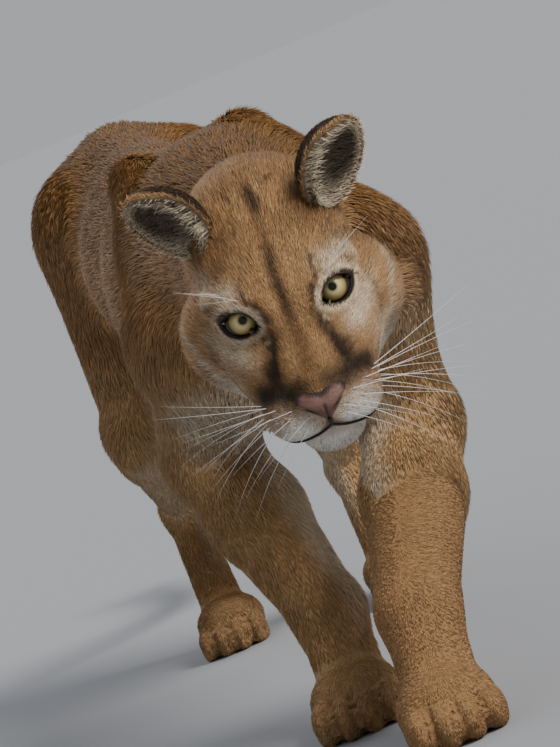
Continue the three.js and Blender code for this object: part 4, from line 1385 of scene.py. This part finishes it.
def grow_coat():
    """Tufts over the whole skin, in pieces along the body, straight where short and bent where long."""
    in_head = smooth(10, -6, NEAR["head"] - np.minimum(NEAR["neck"], NEAR["trunk"]))
    traits, density = coat_traits(in_head)
    corners, shares, uv = sample(SKIN_MESH, density)
    traits |= {"root": get_vertices(SKIN_MESH), "normal": SLOPE, "in_head": in_head}
    tufts = {name: at_roots(value, corners, shares) for name, value in traits.items()} | {"uv": uv}
    grown = ~(bald(to_head(tufts["root"] / MM - SHIFT)) & (tufts["in_head"] > 0.4))
    tufts = {name: value[grown] for name, value in tufts.items()}
    place = tufts["root"] / MM - SHIFT
    normal = tufts["normal"] = unit(tufts["normal"])
    count = len(place)
    sway = 0.22 * wander(place, 26, 3) + 0.2 * wander(place, 9, 4) + RNG.normal(0, 0.13, count)
    tufts["way"] = turned_way(flatten(tufts["way"], normal), normal, sway)
    length = tufts["length"] * (0.8 + 0.4 * RNG.random(count)) * (1 + 0.12 * wander(place, 14, 5))
    short = length < BENT_FROM
    tufts["length"] = length
    tufts["width"] = tufts["width"] * (1 + 0.15 * smooth(9, 14, length) * short)
    tufts["lift"] = np.radians(tufts["lift"]) * (0.55 + 0.9 * RNG.random(count))
    speckle = RNG.normal(0, 1, count) * (0.13 + 0.1 * tufts["in_head"])
    grain = np.clip(1 + 0.16 * wander(place, 5, 6) + speckle, 0.45, 1.7)
    tufts["rgb"] = coat_colour(place, normal, body_groups(place)[0]) * grain[:, None]
    for kind, chosen in (("short", short), ("long", ~short)):
        order = np.nonzero(chosen)[0]
        order = order[np.argsort(place[order, 1], kind="stable")]
        for part, start in enumerate(range(0, len(order), PIECE_TUFTS[kind])):
            some = order[start:start + PIECE_TUFTS[kind]]
            piece = {name: value[some] for name, value in tufts.items()}
            curl = random_curl(piece, 0.05) if kind == "long" else None
            build_tufts(f"coat_{kind}_{part + 1}", piece, curl)


def grow_ear_fur(side_name, side):
    """Short dark hair on the ear's back and long pale hair in its cup, longest along the inner edge."""
    mesh, own, outer = EARS[side_name]
    corners, shares, uv = sample(mesh, np.full(len(own), EAR_TUFTS["density"]))
    normal = unit(at_roots(get_normals(mesh), corners, shares))
    local = at_roots(own, corners, shares)
    back = at_roots(outer, corners, shares) > 0.5
    count = len(local)
    aim = np.where(
        back[:, None],
        np.stack([np.full(count, 0.15), np.ones(count), local[:, 2] / 60], axis=1),
        np.tile(vec(0.7, 0.55, 0.9 * side), (count, 1)),
    )
    way = flatten(aim @ ear_to_head(side).T @ HEAD_AXES, normal)
    inner_edge = smooth(0.1, -0.9, local[:, 2] * side / EAR["outer"][2])
    in_cup = (9.0 + 9 * smooth(-2, -14, local[:, 0])) * (0.8 + 1.1 * inner_edge)
    lift = np.radians(np.where(back, 12, 24 + 26 * RNG.random(count)))
    rgb = np.tile(EAR_BACK_HAIR, (count, 1))
    rgb = blend(rgb, TAWNY, 0.6 * smooth(0.0, -0.9, local[:, 1] / EAR["outer"][1]))
    # Cup hair darker deeper in the cup: painted shade in the hollow of the ear
    inside = blend(np.tile(PALE, (count, 1)), EAR_CUP_HAIR_SHADE, 0.75 * smooth(-6, -18, local[:, 0]))
    rgb = blend(np.where(back[:, None], rgb, inside), SAND, 0.7 * smooth(-7, 0.5, local[:, 0]) * back)
    rgb = rgb * np.clip(1 + RNG.normal(0, 0.16, count), 0.5, 1.6)[:, None]
    way = turned_way(way, normal, RNG.normal(0, 0.2, count))
    tufts = {
        "root": at_roots(get_vertices(mesh), corners, shares), "normal": normal, "way": way, "lift": lift,
        "length": np.where(back, 7.0, in_cup) * (0.75 + 0.5 * RNG.random(count)),
        "width": np.full(count, EAR_TUFTS["width"]), "rgb": rgb, "uv": uv,
    }
    build_tufts("coat_ear_" + side_name, tufts, random_curl(tufts, 0.06))


grow_coat()
for side_name, side in SIDES:
    grow_ear_fur(side_name, side)
